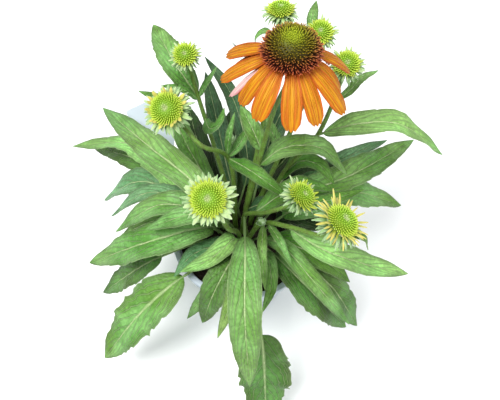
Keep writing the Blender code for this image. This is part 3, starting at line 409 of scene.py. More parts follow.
def read_off(wanted, places, values):
    """Values in rows of three, read off between the places they are given for."""
    return np.stack([np.interp(wanted, places, values[:, axis]) for axis in range(3)], axis=1)


def walked_lengths(points, power=1.0):
    """Length along a row of points up to each, with every step raised to a power."""
    steps = np.linalg.norm(np.diff(points, axis=0), axis=1) ** power
    return np.concatenate([[0], np.cumsum(steps)])


def smooth_route(points):
    """Evenly spaced points along a centripetal Catmull-Rom curve through the given points."""
    knots = np.array(points, dtype=float)
    knots = np.vstack([2 * knots[0] - knots[1], knots, 2 * knots[-1] - knots[-2]])
    times = walked_lengths(knots, 0.5)
    curve = []
    for k in range(1, len(knots) - 2):
        t0, t1, t2, t3 = times[k - 1:k + 3]
        p0, p1, p2, p3 = knots[k - 1:k + 3]
        for t in np.linspace(t1, t2, STEPS_A_SPAN, endpoint=False):
            a1 = (t1 - t) / (t1 - t0) * p0 + (t - t0) / (t1 - t0) * p1
            a2 = (t2 - t) / (t2 - t1) * p1 + (t - t1) / (t2 - t1) * p2
            a3 = (t3 - t) / (t3 - t2) * p2 + (t - t2) / (t3 - t2) * p3
            b1 = (t2 - t) / (t2 - t0) * a1 + (t - t0) / (t2 - t0) * a2
            b2 = (t3 - t) / (t3 - t1) * a2 + (t - t1) / (t3 - t1) * a3
            curve.append((t2 - t) / (t2 - t1) * b1 + (t - t1) / (t2 - t1) * b2)
    curve = np.array(curve + [knots[-2]])
    along = walked_lengths(curve)
    return read_off(np.linspace(0, along[-1], ROUTE_POINTS), along, curve)


def unit(vector):
    return vector / np.linalg.norm(vector)


def route_stations(route, shares):
    """Points and directions at given shares of a route's length."""
    places = np.linspace(0, 1, len(route))
    headings = read_off(shares, places, np.gradient(route, axis=0))
    return read_off(shares, places, route), np.array([unit(heading) for heading in headings])


def carried_sides(headings, start):
    """Side directions that turn as little as possible along a route, level at one station."""
    sides = [None] * len(headings)
    sides[start] = unit(np.cross(headings[start], UP))
    for way, end in ((1, len(headings)), (-1, -1)):
        for index in range(start + way, end, way):
            side = sides[index - way]
            sides[index] = unit(side - side.dot(headings[index]) * headings[index])
    return np.array(sides)


def vein_phase(across, along):
    """A whole number along each side vein, which sweeps to the tip as it nears the edge."""
    return VEIN_PAIRS * (along + VEIN_SWEEP * np.log(1 - np.minimum(across, VEIN_REACH)))


def lance_outline(share):
    """Half width of a lance-shaped blade at a share of its length, 1 at the widest."""
    rise = TIP_TAPER * WIDEST_AT / (1 - WIDEST_AT)
    return (share / WIDEST_AT) ** rise * ((1 - share) / (1 - WIDEST_AT)) ** TIP_TAPER


def lay_sheet(name, columns, rows, points, sides, normals, halves, rise, cut_tip=None):
    """A grid laid along a rib; rise gives a vertex's height over it from its place on the blade."""
    deselect_all()
    bpy.ops.mesh.primitive_grid_add(x_subdivisions=columns, y_subdivisions=rows, size=1.0)
    sheet = bpy.context.object
    sheet.name = name
    flat = coordinates(sheet.data)
    across = flat[:, 0] * 2
    along = flat[:, 1] + 0.5
    if cut_tip is not None:
        along = cut_tip(across, along)
    stations = np.linspace(0, 1, len(points))
    half = np.interp(along, stations, halves)
    height = rise(across, along, half)
    places = (read_off(along, stations, points)
              + read_off(along, stations, sides) * (across * half)[:, None]
              + read_off(along, stations, normals) * height[:, None])
    set_coordinates(sheet.data, places * MM)
    return sheet


def thicken(sheet, thickness):
    """Give a sheet two faces and an edge; the underside takes the second material."""
    make_active(sheet)
    solid = sheet.modifiers.new("Thickness", "SOLIDIFY")
    solid.thickness = thickness
    solid.offset = 0.0
    solid.use_even_offset = False
    solid.material_offset = 1
    bpy.ops.object.modifier_apply(modifier=solid.name)
    return sheet


def tapered_tube(name, points, radii, resolution=2):
    """A round stalk of varying thickness along a route, closed at both ends."""
    deselect_all()
    curve = bpy.data.curves.new(name, "CURVE")
    curve.dimensions = "3D"
    curve.bevel_depth = MM
    curve.bevel_resolution = resolution
    curve.use_fill_caps = True
    spline = curve.splines.new("POLY")
    spline.points.add(len(points) - 1)
    for target, point, radius in zip(spline.points, points, radii):
        target.co = (*(np.asarray(point) * MM), 1.0)
        target.radius = radius
    tube = bpy.data.objects.new(name, curve)
    bpy.context.scene.collection.objects.link(tube)
    make_active(tube)
    bpy.ops.object.convert(target="MESH")
    bpy.ops.object.mode_set(mode="EDIT")
    bpy.ops.mesh.select_all(action="SELECT")
    bpy.ops.mesh.remove_doubles(threshold=MERGE_DISTANCE)
    bpy.ops.mesh.normals_make_consistent(inside=False)
    bpy.ops.object.mode_set(mode="OBJECT")
    return bpy.context.object


def turned_piece(name, profile, sides):
    """A disc drawn up through rings of given radius and height, closed by its last ring."""
    deselect_all()
    radius, height = profile[0]
    bpy.ops.mesh.primitive_circle_add(vertices=sides, radius=radius * MM, fill_type="NGON",
                                      location=(0, 0, height * MM))
    piece = bpy.context.object
    piece.name = name
    bpy.ops.object.transform_apply(location=True)
    bpy.ops.object.mode_set(mode="EDIT")
    bpy.ops.mesh.select_all(action="SELECT")
    for next_radius, next_height in profile[1:]:
        bpy.ops.mesh.extrude_region_move(
            TRANSFORM_OT_translate={"value": (0, 0, (next_height - height) * MM)})
        factor = next_radius / radius
        bpy.ops.transform.resize(value=(factor, factor, 1), center_override=(0, 0, 0))
        radius, height = next_radius, next_height
    bpy.ops.mesh.select_all(action="SELECT")
    bpy.ops.mesh.normals_make_consistent(inside=False)
    bpy.ops.object.mode_set(mode="OBJECT")
    return piece


def stamped(name, template, placings, rings=None):
    """Copies of a template at the given placings, joined, each with its own ring share."""
    copies = []
    for index, placing in enumerate(placings):
        mesh = template.data.copy()
        mesh.transform(placing)
        if rings is not None:
            store_share(mesh, "ring", np.full(len(mesh.vertices), rings[index]))
        copy = bpy.data.objects.new(name, mesh)
        bpy.context.scene.collection.objects.link(copy)
        copies.append(copy)
    bpy.data.objects.remove(template, do_unlink=True)
    return join_pieces(name, copies)


def turned_to(heading):
    """The turn that points a piece's own upright along a heading."""
    return heading.to_track_quat("Z", "Y").to_matrix().to_4x4()


def head_frame(centre, axis):
    """The turn and place of a flower head from its own upright frame."""
    return Matrix.Translation(Vector(centre) * MM) @ turned_to(Vector(axis))


# Sockets of a colour mix: the two colours given and the one put out
MIX_FIRST, MIX_SECOND, MIX_RESULT = 6, 7, 2
# Most values of a noise lie between these
NOISE_LOW, NOISE_HIGH = 0.3, 0.7
BUMP_STRENGTH = 0.6


def node(tree, kind, **settings):
    made = tree.nodes.new(kind)
    for name, value in settings.items():
        setattr(made, name, value)
    return made


def feed(tree, value, socket):
    """Link a socket to an output, or set it to a plain value."""
    if isinstance(value, bpy.types.NodeSocket):
        tree.links.new(value, socket)
    else:
        socket.default_value = value


def calc(tree, operation, first, second=0.0, third=0.0, clamp=False):
    made = node(tree, "ShaderNodeMath", operation=operation, use_clamp=clamp)
    for value, socket in zip((first, second, third), made.inputs):
        feed(tree, value, socket)
    return made.outputs[0]


def band(tree, value, start, end, low=0.0, high=1.0):
    """A smooth step of a value from low at start to high at end."""
    made = node(tree, "ShaderNodeMapRange", interpolation_type="SMOOTHSTEP")
    for label, number in (("Value", value), ("From Min", start), ("From Max", end),
                          ("To Min", low), ("To Max", high)):
        feed(tree, number, made.inputs[label])
    return made.outputs["Result"]


def spread_noise(tree, value, low, high):
    """A noise's usual range drawn out from low to high."""
    return band(tree, value, NOISE_LOW, NOISE_HIGH, low, high)


def blend_colours(tree, share, first, second):
    made = node(tree, "ShaderNodeMix", data_type="RGBA")
    feed(tree, share, made.inputs["Factor"])
    feed(tree, first, made.inputs[MIX_FIRST])
    feed(tree, second, made.inputs[MIX_SECOND])
    return made.outputs[MIX_RESULT]


def toned(tree, colour, value, hue=0.5):
    """A colour made darker or lighter, and turned in hue, by values that change over a face."""
    made = node(tree, "ShaderNodeHueSaturation")
    for label, given in (("Color", colour), ("Value", value), ("Hue", hue)):
        feed(tree, given, made.inputs[label])
    return made.outputs[0]


def texture_place(tree, kind="Object"):
    return node(tree, "ShaderNodeTexCoord").outputs[kind]


def split(tree, vector):
    made = node(tree, "ShaderNodeSeparateXYZ")
    tree.links.new(vector, made.inputs[0])
    return made.outputs


def attribute(tree, name):
    return node(tree, "ShaderNodeAttribute", attribute_name=name,
                attribute_type="GEOMETRY").outputs["Fac"]


def noise_at(tree, place, scale, detail=2.0, roughness=0.5):
    made = node(tree, "ShaderNodeTexNoise")
    for label, value in (("Vector", place), ("Scale", scale), ("Detail", detail),
                         ("Roughness", roughness)):
        feed(tree, value, made.inputs[label])
    return made.outputs["Fac"]


def grain(tree, scale, detail=3.0, stretch=None):
    """Noise over the piece's own coordinates, stretched where a stretch is given."""
    place = texture_place(tree)
    if stretch is not None:
        mapping = node(tree, "ShaderNodeMapping")
        feed(tree, place, mapping.inputs["Vector"])
        feed(tree, stretch, mapping.inputs["Scale"])
        place = mapping.outputs["Vector"]
    return noise_at(tree, place, scale, detail, 0.55)


def blade_place(tree):
    """Places on a blade's own map: distance from the rib, place from edge to edge, and height."""
    side, height, _ = split(tree, texture_place(tree, "UV"))
    across = calc(tree, "ABSOLUTE", calc(tree, "MULTIPLY_ADD", side, 2.0, -1.0))
    return across, side, height


def new_group(name, colours, numbers):
    """A shader group with colour and number inputs, and colour, roughness and height outputs."""
    tree = bpy.data.node_groups.new(name, "ShaderNodeTree")
    sockets = [(label, "INPUT", "NodeSocketColor") for label in colours]
    sockets += [(label, "INPUT", "NodeSocketFloat") for label in numbers]
    sockets += [("Colour", "OUTPUT", "NodeSocketColor"), ("Roughness", "OUTPUT", "NodeSocketFloat"),
                ("Height", "OUTPUT", "NodeSocketFloat")]
    for label, way, kind in sockets:
        tree.interface.new_socket(label, in_out=way, socket_type=kind)
    return tree, node(tree, "NodeGroupInput").outputs, node(tree, "NodeGroupOutput").inputs


def put_out(tree, out, colour, roughness, height):
    for value, label in ((colour, "Colour"), (roughness, "Roughness"), (height, "Height")):
        tree.links.new(value, out[label])
    return tree


# Leaf face: noise scales a metre, then bands by start, end and the value at either
HUE_SCALE, CLOUD_SCALE, DRIFT_SCALE, NET_SCALE, FINE_SCALE = 17.0, 34.0, 90.0, 210.0, 240.0
HUE_BAND = (0.34, 0.66, 0.492, 0.514)
CLOUD_BAND = (0.36, 0.64)
PUCKER_BAND = (0.0, 0.4)
SIDE_VEIN_BAND = (0.008, 0.06, 0.75, 0.0)
VEIN_SHADE_BAND = (0.04, 0.17, 0.74, 1.05)
RIB_BAND = (0.45, 1.1, 1.0, 0.0)
# Painted highlight: a pale band of the vein colour along the blade's edge
EDGE_HIGHLIGHT_BAND = (0.92, 1.0, 0.0, 0.65)
# Painted rib: half width at the tip as a share of the blade's, and how much wider at the foot
RIB_WIDTH, RIB_FOOT_WIDTH = 0.05, 0.10
VEIN_DRIFT = 0.5


def leaf_face_group():
    """Blade face: pale rib, sweeping side veins, a fine net of puckers and green clouded with its
    lit colour, a painted highlight.
    """
    tree, given, out = new_group("leaf_face", ("Green", "Bloom", "Vein"),
                                 ("Vein strength", "Gloss"))
    across, _, height = blade_place(tree)
    inside = calc(tree, "SUBTRACT", 1.0, calc(tree, "MINIMUM", across, VEIN_REACH))
    sweep = calc(tree, "MULTIPLY", calc(tree, "LOGARITHM", inside, math.e), VEIN_SWEEP)
    drift = calc(tree, "MULTIPLY_ADD", grain(tree, DRIFT_SCALE, 2.0), VEIN_DRIFT, -VEIN_DRIFT / 2)
    phase = calc(tree, "MULTIPLY_ADD", calc(tree, "ADD", height, sweep), VEIN_PAIRS, drift)
    gap = calc(tree, "MULTIPLY", calc(tree, "PINGPONG", phase, 0.5),
               calc(tree, "ADD", inside, VEIN_EDGE_GAP))
    to_foot = calc(tree, "POWER", calc(tree, "SUBTRACT", 1.0, height), 2.0)
    rib_width = calc(tree, "MULTIPLY_ADD", to_foot, RIB_FOOT_WIDTH, RIB_WIDTH)
    rib = band(tree, calc(tree, "DIVIDE", across, rib_width), *RIB_BAND)
    # Rib, side veins and the painted highlight along the edge take the vein colour
    veins = calc(tree, "MAXIMUM", calc(tree, "MAXIMUM", rib, band(tree, gap, *SIDE_VEIN_BAND)),
                 band(tree, across, *EDGE_HIGHLIGHT_BAND))
    net = node(tree, "ShaderNodeTexVoronoi", feature="DISTANCE_TO_EDGE")
    feed(tree, texture_place(tree), net.inputs["Vector"])
    feed(tree, NET_SCALE, net.inputs["Scale"])
    pucker = band(tree, net.outputs["Distance"], *PUCKER_BAND)
    # Painted highlight: clouds of the lit green, the Bloom input, over the shaded green
    cloud = band(tree, grain(tree, CLOUD_SCALE, 4.0), *CLOUD_BAND)
    fine = grain(tree, FINE_SCALE)
    # Value: a random mottle times painted shade, darker along the net of puckers and beside each
    # side vein, in their creases
    depth = calc(tree, "MULTIPLY", spread_noise(tree, fine, 0.86, 1.12),
                 band(tree, pucker, 0.0, 1.0, 0.92, 1.03))
    face = toned(tree, blend_colours(tree, cloud, given["Green"], given["Bloom"]),
                 calc(tree, "MULTIPLY", depth, band(tree, gap, *VEIN_SHADE_BAND)),
                 band(tree, grain(tree, HUE_SCALE, 2.0), *HUE_BAND))
    veined = blend_colours(tree, calc(tree, "MULTIPLY", veins, given["Vein strength"]), face,
                           given["Vein"])
    rough = calc(tree, "SUBTRACT", spread_noise(tree, fine, 0.46, 0.62), given["Gloss"])
    low = calc(tree, "SUBTRACT", calc(tree, "MULTIPLY", fine, 0.35),
               calc(tree, "MULTIPLY", veins, 0.6))
    return put_out(tree, out, veined, rough, calc(tree, "MULTIPLY_ADD", pucker, 0.5, low))


STREAK_SCALE, STREAK_STRETCH, STREAK_BAND = 500.0, (1.0, 1.0, 0.12), (0.42, 0.62)
FRECKLE_SCALE = 1400.0
FOOT_COLOUR_BAND = (0.0, 0.2)


def stalk_group():
    """Stalks, stems and ribs: lengthwise streaks and a freckled skin."""
    tree, given, out = new_group("stalk_skin", ("Foot", "Main", "Streak"), ("Streaks",))
    main = blend_colours(tree, band(tree, attribute(tree, "along"), *FOOT_COLOUR_BAND),
                         given["Foot"], given["Main"])
    streaks = grain(tree, STREAK_SCALE, stretch=STREAK_STRETCH)
    freckle = grain(tree, FRECKLE_SCALE, 2.0)
    share = calc(tree, "MULTIPLY", band(tree, streaks, *STREAK_BAND), given["Streaks"])
    face = toned(tree, blend_colours(tree, share, main, given["Streak"]),
                 spread_noise(tree, freckle, 0.82, 1.2))
    return put_out(tree, out, face, spread_noise(tree, freckle, 0.45, 0.62),
                   calc(tree, "ADD", streaks, calc(tree, "MULTIPLY", freckle, 0.4)))


# Petal lines: how many cross a petal, how often they break along it, and their change over a metre
LINES_ACROSS, LINES_ALONG, LINE_CHANGE = 19.0, 1.6, 45.0
LINE_BAND = (0.46, 0.66)
GROOVE_AT = 0.36
GROOVE_BAND = (0.0, 0.13, 0.8, 0.0)
PETAL_EDGE_BAND = (0.5, 1.0, 0.0, 0.85)
PETAL_TIP_BAND = (0.86, 1.0, 0.0, 0.45)


def petal_face_group():
    """Petal and ray faces: a warm middle, darker edges, two grooves and lengthwise lines."""
    tree, given, out = new_group("petal_face", ("Middle", "Edge", "Foot"),
                                 ("Stripes", "Foot reach"))
    across, side, height = blade_place(tree)
    width_place = split(tree, texture_place(tree))[0]
    line_place = node(tree, "ShaderNodeCombineXYZ")
    for socket, (place, rate) in zip(line_place.inputs, (
            (side, LINES_ACROSS), (height, LINES_ALONG), (width_place, LINE_CHANGE))):
        feed(tree, calc(tree, "MULTIPLY", place, rate), socket)
    lines = band(tree, noise_at(tree, line_place.outputs[0], 1.0, 4.0), *LINE_BAND)
    groove = band(tree, calc(tree, "ABSOLUTE", calc(tree, "SUBTRACT", across, GROOVE_AT)),
                  *GROOVE_BAND)
    darker = calc(tree, "MAXIMUM", groove, calc(tree, "MULTIPLY", lines, 0.85))
    rim = calc(tree, "MAXIMUM", band(tree, across, *PETAL_EDGE_BAND),
               band(tree, height, *PETAL_TIP_BAND))
    share = calc(tree, "MAXIMUM", rim, calc(tree, "MULTIPLY", darker, given["Stripes"]), clamp=True)
    face = blend_colours(tree, share, given["Middle"], given["Edge"])
    foot = band(tree, height, 0.04, given["Foot reach"], 0.9, 0.0)
    fine = grain(tree, 900.0, 2.0)
    return put_out(tree, out, blend_colours(tree, foot, face, given["Foot"]),
                   spread_noise(tree, fine, 0.42, 0.58),
                   calc(tree, "SUBTRACT", calc(tree, "MULTIPLY", fine, 0.3), darker))


def spike_group():
    """Florets and spines: rings of colour round a head's middle, with tips of their own colours."""
    tree, given, out = new_group(
        "spike_rings", ("Middle", "Ring", "Rim", "Tip middle", "Tip ring", "Tip rim"),
        ("Ring at", "Tip from", "Tip share", "Foot shade"))
    tip = attribute(tree, "tip")
    reach = calc(tree, "ADD", attribute(tree, "ring"),
                 calc(tree, "MULTIPLY_ADD", grain(tree, 420.0, 2.0), 0.24, -0.12))
    to_ring = band(tree, reach, 0.1, given["Ring at"])
    to_rim = band(tree, reach, given["Ring at"], 0.98)

    def ringed(middle, ring, rim):
        inner = blend_colours(tree, to_ring, given[middle], given[ring])
        return blend_colours(tree, to_rim, inner, given[rim])

    share = calc(tree, "MULTIPLY", band(tree, tip, given["Tip from"], 0.98), given["Tip share"])
    face = blend_colours(tree, share, ringed("Middle", "Ring", "Rim"),
                         ringed("Tip middle", "Tip ring", "Tip rim"))
    fine = grain(tree, 1500.0, 2.0)
    shade = band(tree, tip, 0.0, 0.6, given["Foot shade"], 1.1)
    return put_out(tree, out, toned(tree, face, shade), spread_noise(tree, fine, 0.42, 0.6), fine)


def ground_group():
    """Soil, pot and tag faces: two colours in clouds, flecks of a third and a fine grain."""
    tree, given, out = new_group("ground_face", ("Main", "Cloud", "Fleck"),
                                 ("Scale", "Fleck share", "Roughness low", "Roughness high"))
    place = texture_place(tree)
    clouds = noise_at(tree, place, given["Scale"], 5.0)
    flecks = node(tree, "ShaderNodeTexVoronoi")
    feed(tree, place, flecks.inputs["Vector"])
    feed(tree, calc(tree, "MULTIPLY", given["Scale"], 9.0), flecks.inputs["Scale"])
    spots = calc(tree, "LESS_THAN", flecks.outputs["Distance"], given["Fleck share"])
    face = blend_colours(tree, band(tree, clouds, 0.38, 0.64), given["Main"], given["Cloud"])
    fine = noise_at(tree, place, calc(tree, "MULTIPLY", given["Scale"], 14.0))
    return put_out(tree, out, blend_colours(tree, spots, face, given["Fleck"]),
                   spread_noise(tree, clouds, given["Roughness low"], given["Roughness high"]),
                   calc(tree, "ADD", fine, clouds))


FINISHES = {}


def shaded(colour, factor):
    return tuple(min(1.0, part * factor) for part in colour)


def mixed(first, second, share):
    return tuple(a + (b - a) * share for a, b in zip(first, second))


def add_finish(slot, name, group, colours, numbers, depth, strength=BUMP_STRENGTH, gloss=0.5,
               **more):
    """A material from a group placed with its own colours and numbers, in the group's own order.

    Depth and strength are the bump's, in metres and as a share; gloss is the shader's mirror level.
    """
    material = bpy.data.materials.new(name)
    material.use_nodes = True
    tree = material.node_tree
    shader = tree.nodes["Principled BSDF"]
    placed = node(tree, "ShaderNodeGroup", node_tree=group)
    painted = [(*(part * PAINT_SHARE for part in colour), 1.0) for colour in colours]
    for value, socket in zip(painted + list(numbers), placed.inputs):
        socket.default_value = value
    bump = node(tree, "ShaderNodeBump")
    bump.inputs["Strength"].default_value = strength
    bump.inputs["Distance"].default_value = depth
    for start, end in ((placed.outputs["Colour"], shader.inputs["Base Color"]),
                       (placed.outputs["Roughness"], shader.inputs["Roughness"]),
                       (placed.outputs["Height"], bump.inputs["Height"]),
                       (bump.outputs["Normal"], shader.inputs["Normal"])):
        tree.links.new(start, end)
    shader.inputs["Specular IOR Level"].default_value = gloss
    for label, value in more.items():
        shader.inputs[label.replace("_", " ")].default_value = value
    FINISHES[slot] = material


def make_finishes(foliage, flowers, ground):
    """Every material of the plant, from the groups placed with their own values."""
    green, pale, cream = foliage.leaf_green, foliage.leaf_pale, foliage.rib_cream
    stem, lime = foliage.stem_green, flowers.floret_lime
    hair, collar = (0.42, 0.54, 0.28), (0.34, 0.05, 0.012)
    leaf_face, stalk, petal = leaf_face_group(), stalk_group(), petal_face_group()
    spikes, ground_face = spike_group(), ground_group()

    # Leaf tones: shaded and lit green, vein strength, gloss
    # Tones three to six are lit and shaded copies of the green: first a painted highlight, then
    # painted shade for leaves that lie low, under others, in the crown or at the back
    for tone, low, high, veins, gloss in (
            ("mid", shaded(green, 1.08), shaded(pale, 1.08), 0.55, 0.0),
            ("pale", mixed(green, pale, 0.25), pale, 0.65, 0.02),
            ("bright", mixed(green, pale, 0.8), shaded(pale, 1.7), 0.65, 0.0),
            ("deep", shaded(green, 0.6), shaded(mixed(green, pale, 0.35), 0.95), 0.5, 0.0),
            ("dark", shaded(green, 0.1), shaded(green, 0.32), 0.3, 0.0),
            ("bluish_shade", (0.03, 0.10, 0.03), (0.08, 0.19, 0.075), 0.45, 0.04),
            ("rich", (0.075, 0.23, 0.018), (0.15, 0.35, 0.045), 0.5, 0.04),
            ("lime", (0.16, 0.34, 0.05), (0.30, 0.52, 0.12), 0.6, 0.0),
            ("blue", (0.105, 0.29, 0.10), (0.24, 0.48, 0.21), 0.55, 0.10)):
        add_finish("leaf_" + tone, f"leaf_{tone}_top", leaf_face,
                   (low, high, mixed(cream, high, 0.25)), (veins, gloss), 0.0012, 0.85, 0.32)
    add_finish("leaf_under", "leaf_underside", leaf_face,
               (mixed(green, pale, 0.3), shaded(pale, 1.1), cream), (0.75, 0.0), 0.0006, gloss=0.3)

    # Stalks: foot, main and streak colours, streak strength, bump depth, gloss
    for slot, name, foot, main, streak, streaks, depth, gloss in (
            ("rib", "rib_and_stalk", mixed(cream, green, 0.65), cream, mixed(cream, green, 0.7),
             0.7, 0.0003, 0.45),
            ("stem", "stem_skin", stem, stem, (0.10, 0.11, 0.02), 0.6, 0.0004, 0.45),
            ("hair", "stem_hairs", hair, hair, (0.30, 0.42, 0.16), 0.5, 0.0001, 0.5),
            ("collar", "collar_red", collar, collar, (0.16, 0.03, 0.01), 0.8, 0.0004, 0.35)):
        add_finish(slot, name, stalk, (foot, main, streak), (streaks,), depth, gloss=gloss)

    # Petals and rays: middle, edge and foot colours, stripe strength, foot reach, depth, gloss
    for slot, name, middle, edge, foot, stripes, reach, depth, gloss in (
            ("petal_under", "petal_underside", (0.70, 0.24, 0.12), (0.56, 0.12, 0.08),
             (0.40, 0.08, 0.04), 0.6, 0.3, 0.0005, 0.3),
            ("petal_rolled", "petal_rolled_pink", (0.84, 0.62, 0.58), (0.62, 0.12, 0.14),
             (0.72, 0.30, 0.22), 0.7, 0.3, 0.0005, 0.3),
            ("ray", "ray_cream_green", flowers.ray_cream, (0.70, 0.84, 0.56),
             (0.26, 0.48, 0.04), 0.8, 0.85, 0.0004, 0.35),
            ("ray_gold", "ray_green_with_gold_tip", (0.46, 0.66, 0.05), (0.78, 0.70, 0.10),
             (0.26, 0.52, 0.02), 0.4, 0.8, 0.0004, 0.3),
            ("ray_yellow", "ray_yellow", (0.76, 0.68, 0.12), (0.82, 0.76, 0.28),
             (0.34, 0.50, 0.02), 0.7, 0.7, 0.0004, 0.35)):
        add_finish(slot, name, petal, (middle, edge, foot), (stripes, reach), depth, gloss=gloss)
    add_finish("petal", "petal_upper", petal,
               (flowers.petal_orange, flowers.petal_red, (0.42, 0.045, 0.004)), (0.85, 0.34),
               0.0007, 0.9, 0.22)
    add_finish("bract", "bract_green", petal,
               ((0.28, 0.50, 0.15), (0.60, 0.78, 0.50), (0.12, 0.27, 0.04)), (0.6, 0.6), 0.0003,
               gloss=0.35, Sheen_Weight=0.15, Sheen_Roughness=0.4)

    # Florets and spines: ring colours of the body and of the tips, and where each begins
    add_finish("floret", "floret_lime", spikes,
               ((0.62, 0.74, 0.30), lime, mixed(lime, (0.40, 0.58, 0.02), 0.6),
                (0.80, 0.88, 0.56), (0.54, 0.80, 0.12), (0.76, 0.82, 0.16)),
               (0.36, 0.35, 0.75, 0.5), 0.0002, gloss=0.15)
    add_finish("cone", "cone_spines", spikes,
               ((0.36, 0.46, 0.02), (0.13, 0.11, 0.008), (0.085, 0.013, 0.008),
                (0.64, 0.70, 0.05), (0.40, 0.31, 0.02), (0.66, 0.16, 0.06)),
               (0.66, 0.58, 0.95, 0.4), 0.0002, gloss=0.15)

    # Pot, soil and tag: main, cloud and fleck colours, scale, fleck share and roughness range
    add_finish("pot", "pot_plastic", ground_face,
               (ground.pot_colour, shaded(ground.pot_colour, 0.93), shaded(ground.pot_colour, 0.8)),
               (30.0, 0.08, 0.36, 0.5), 0.00012)
    add_finish("soil", "soil_peat", ground_face,
               (ground.soil_colour, shaded(ground.soil_colour, 2.4), (0.14, 0.10, 0.07)),
               (120.0, 0.12, 0.85, 1.0), 0.0012, 1.0, 0.2)
    add_finish("tag", "tag_plastic", ground_face,
               (ground.tag_colour, shaded(ground.tag_colour, 0.95), shaded(ground.tag_colour, 0.9)),
               (40.0, 0.05, 0.28, 0.4), 0.00008)


# Leaf tone, tooth factor and wave factor; a leaf that isn't named takes the plain look
PLAIN_LOOK = ("mid", 1.0, 1.0)
# The darkest tones here are painted shade on leaves that lie low, in the crown or at the back; the
# brightest is a painted highlight
LEAF_LOOKS = {
    "leaf_left_back_pale": ("mid", 0.6, 1.0), "leaf_left_scalloped": ("bright", 1.8, 2.0),
    "leaf_left_under": ("deep", 1.2, 1.0), "leaf_left_glossy": ("blue", 1.4, 1.2),
    "leaf_left_narrow": ("blue", 0.8, 1.0), "leaf_left_long": ("pale", 0.8, 1.2),
    "leaf_left_short": ("pale", 0.6, 0.8), "leaf_left_shaded": ("deep", 1.0, 1.0),
    "leaf_left_low": ("deep", 1.4, 1.0), "leaf_front_left_broad": ("mid", 1.8, 1.2),
    "leaf_front_left_grey": ("blue", 0.6, 1.0), "leaf_front_left_bright": ("bright", 0.4, 0.8),
    "leaf_front_dark": ("deep", 1.0, 1.0), "leaf_front_lime": ("lime", 0.5, 1.0),
    "leaf_front_long": ("deep", 1.5, 2.4), "leaf_right_front_long": ("mid", 0.6, 0.8),
    "leaf_right_front_low": ("deep", 1.6, 1.6), "leaf_right_front_wide": ("deep", 1.6, 1.6),
    "leaf_right_front_round": ("rich", 1.0, 1.0), "leaf_right_long": ("mid", 1.0, 1.4),
    "leaf_right_broad": ("mid", 1.0, 1.4), "leaf_right_back_blue": ("blue", 0.6, 1.0),
    "leaf_back_mid": ("bluish_shade", 0.8, 1.0), "leaf_back_thin": ("bluish_shade", 0.6, 1.0),
    "leaf_back_left_dark": ("bluish_shade", 0.8, 1.0), "leaf_back_far": ("bluish_shade", 0.8, 1.0),
    "leaf_inner_right": ("dark", 0.8, 1.2), "leaf_inner_low": ("dark", 1.0, 1.0),
    "leaf_inner_back": ("dark", 0.8, 1.0), "leaf_inner_back_left": ("dark", 0.8, 1.0),
    "leaf_inner_back_right": ("dark", 0.8, 1.0), "front_left_0": ("pale", 0.7, 1.0),
    "right_mid_0": ("pale", 0.7, 1.2), "right_mid_1": ("rich", 0.6, 1.0),
    "right_mid_2": ("rich", 0.8, 1.4), "right_low_0": ("lime", 0.4, 0.8),
    "right_low_2": ("bright", 0.5, 0.8), "right_top_0": ("bright", 0.7, 1.2),
    "right_top_2": ("rich", 0.7, 1.0), "upper_left_0": ("rich", 0.4, 1.0),
    "bloom_2": ("bluish_shade", 0.6, 1.0),
}
TEETH_PER_SIDE = 8
# A tooth rises over this share of its length; drifts in its place: size, rate, share of the start
TOOTH_RISE = 0.75
TOOTH_DRIFTS = ((0.022, 37, 1), (0.014, 71, 2))
# A blade's fold and width are full grown at one part in so many of its length
GROWN_AT = 3
LEAST_HALF_WIDTH = 0.35
STALK_HALF_SHARE = 0.8
# Waves along an edge, and how far a wave runs on across the blade
EDGE_WAVES = (2.2, 3.4)
WAVE_SKEW = 0.9
FOLD_LIFT = 0.9
BELLY = 0.09
VEIN_WIDTH = 0.14
PUCKER_SHARE = 0.8
# Puckers: rows between the side veins, and rates along and across of the finer ones
PUCKER_ROWS = 19
PUCKER_RATES = (61, 9, 13, 23)
BLADE_SINK = 0.15
# Raised rib: stations, where it ends, taper, share of the stalk's radius, least radius and its sink
RIB_STATIONS = 40
RIB_END = 0.985
RIB_TAPER = 0.75
RIB_SHARE = 0.72
NARROW_RIB, RIB_GAIN_WIDTH = 0.45, 50
LEAST_RIB_RADIUS = 0.16
RIB_SINK, RIB_SINK_ONSET = 0.62, 6


def tooth_at(share, start):
    """Forward-leaning teeth of uneven length: each rises slowly and falls back before the next."""
    uneven = share
    for size, rate, starts in TOOTH_DRIFTS:
        uneven = uneven + size * np.sin(share * rate + starts * start)
    part = (uneven * TEETH_PER_SIDE) % 1.0
    return np.where(part < TOOTH_RISE, part / TOOTH_RISE, (1 - part) / (1 - TOOTH_RISE)) * 2 - 1


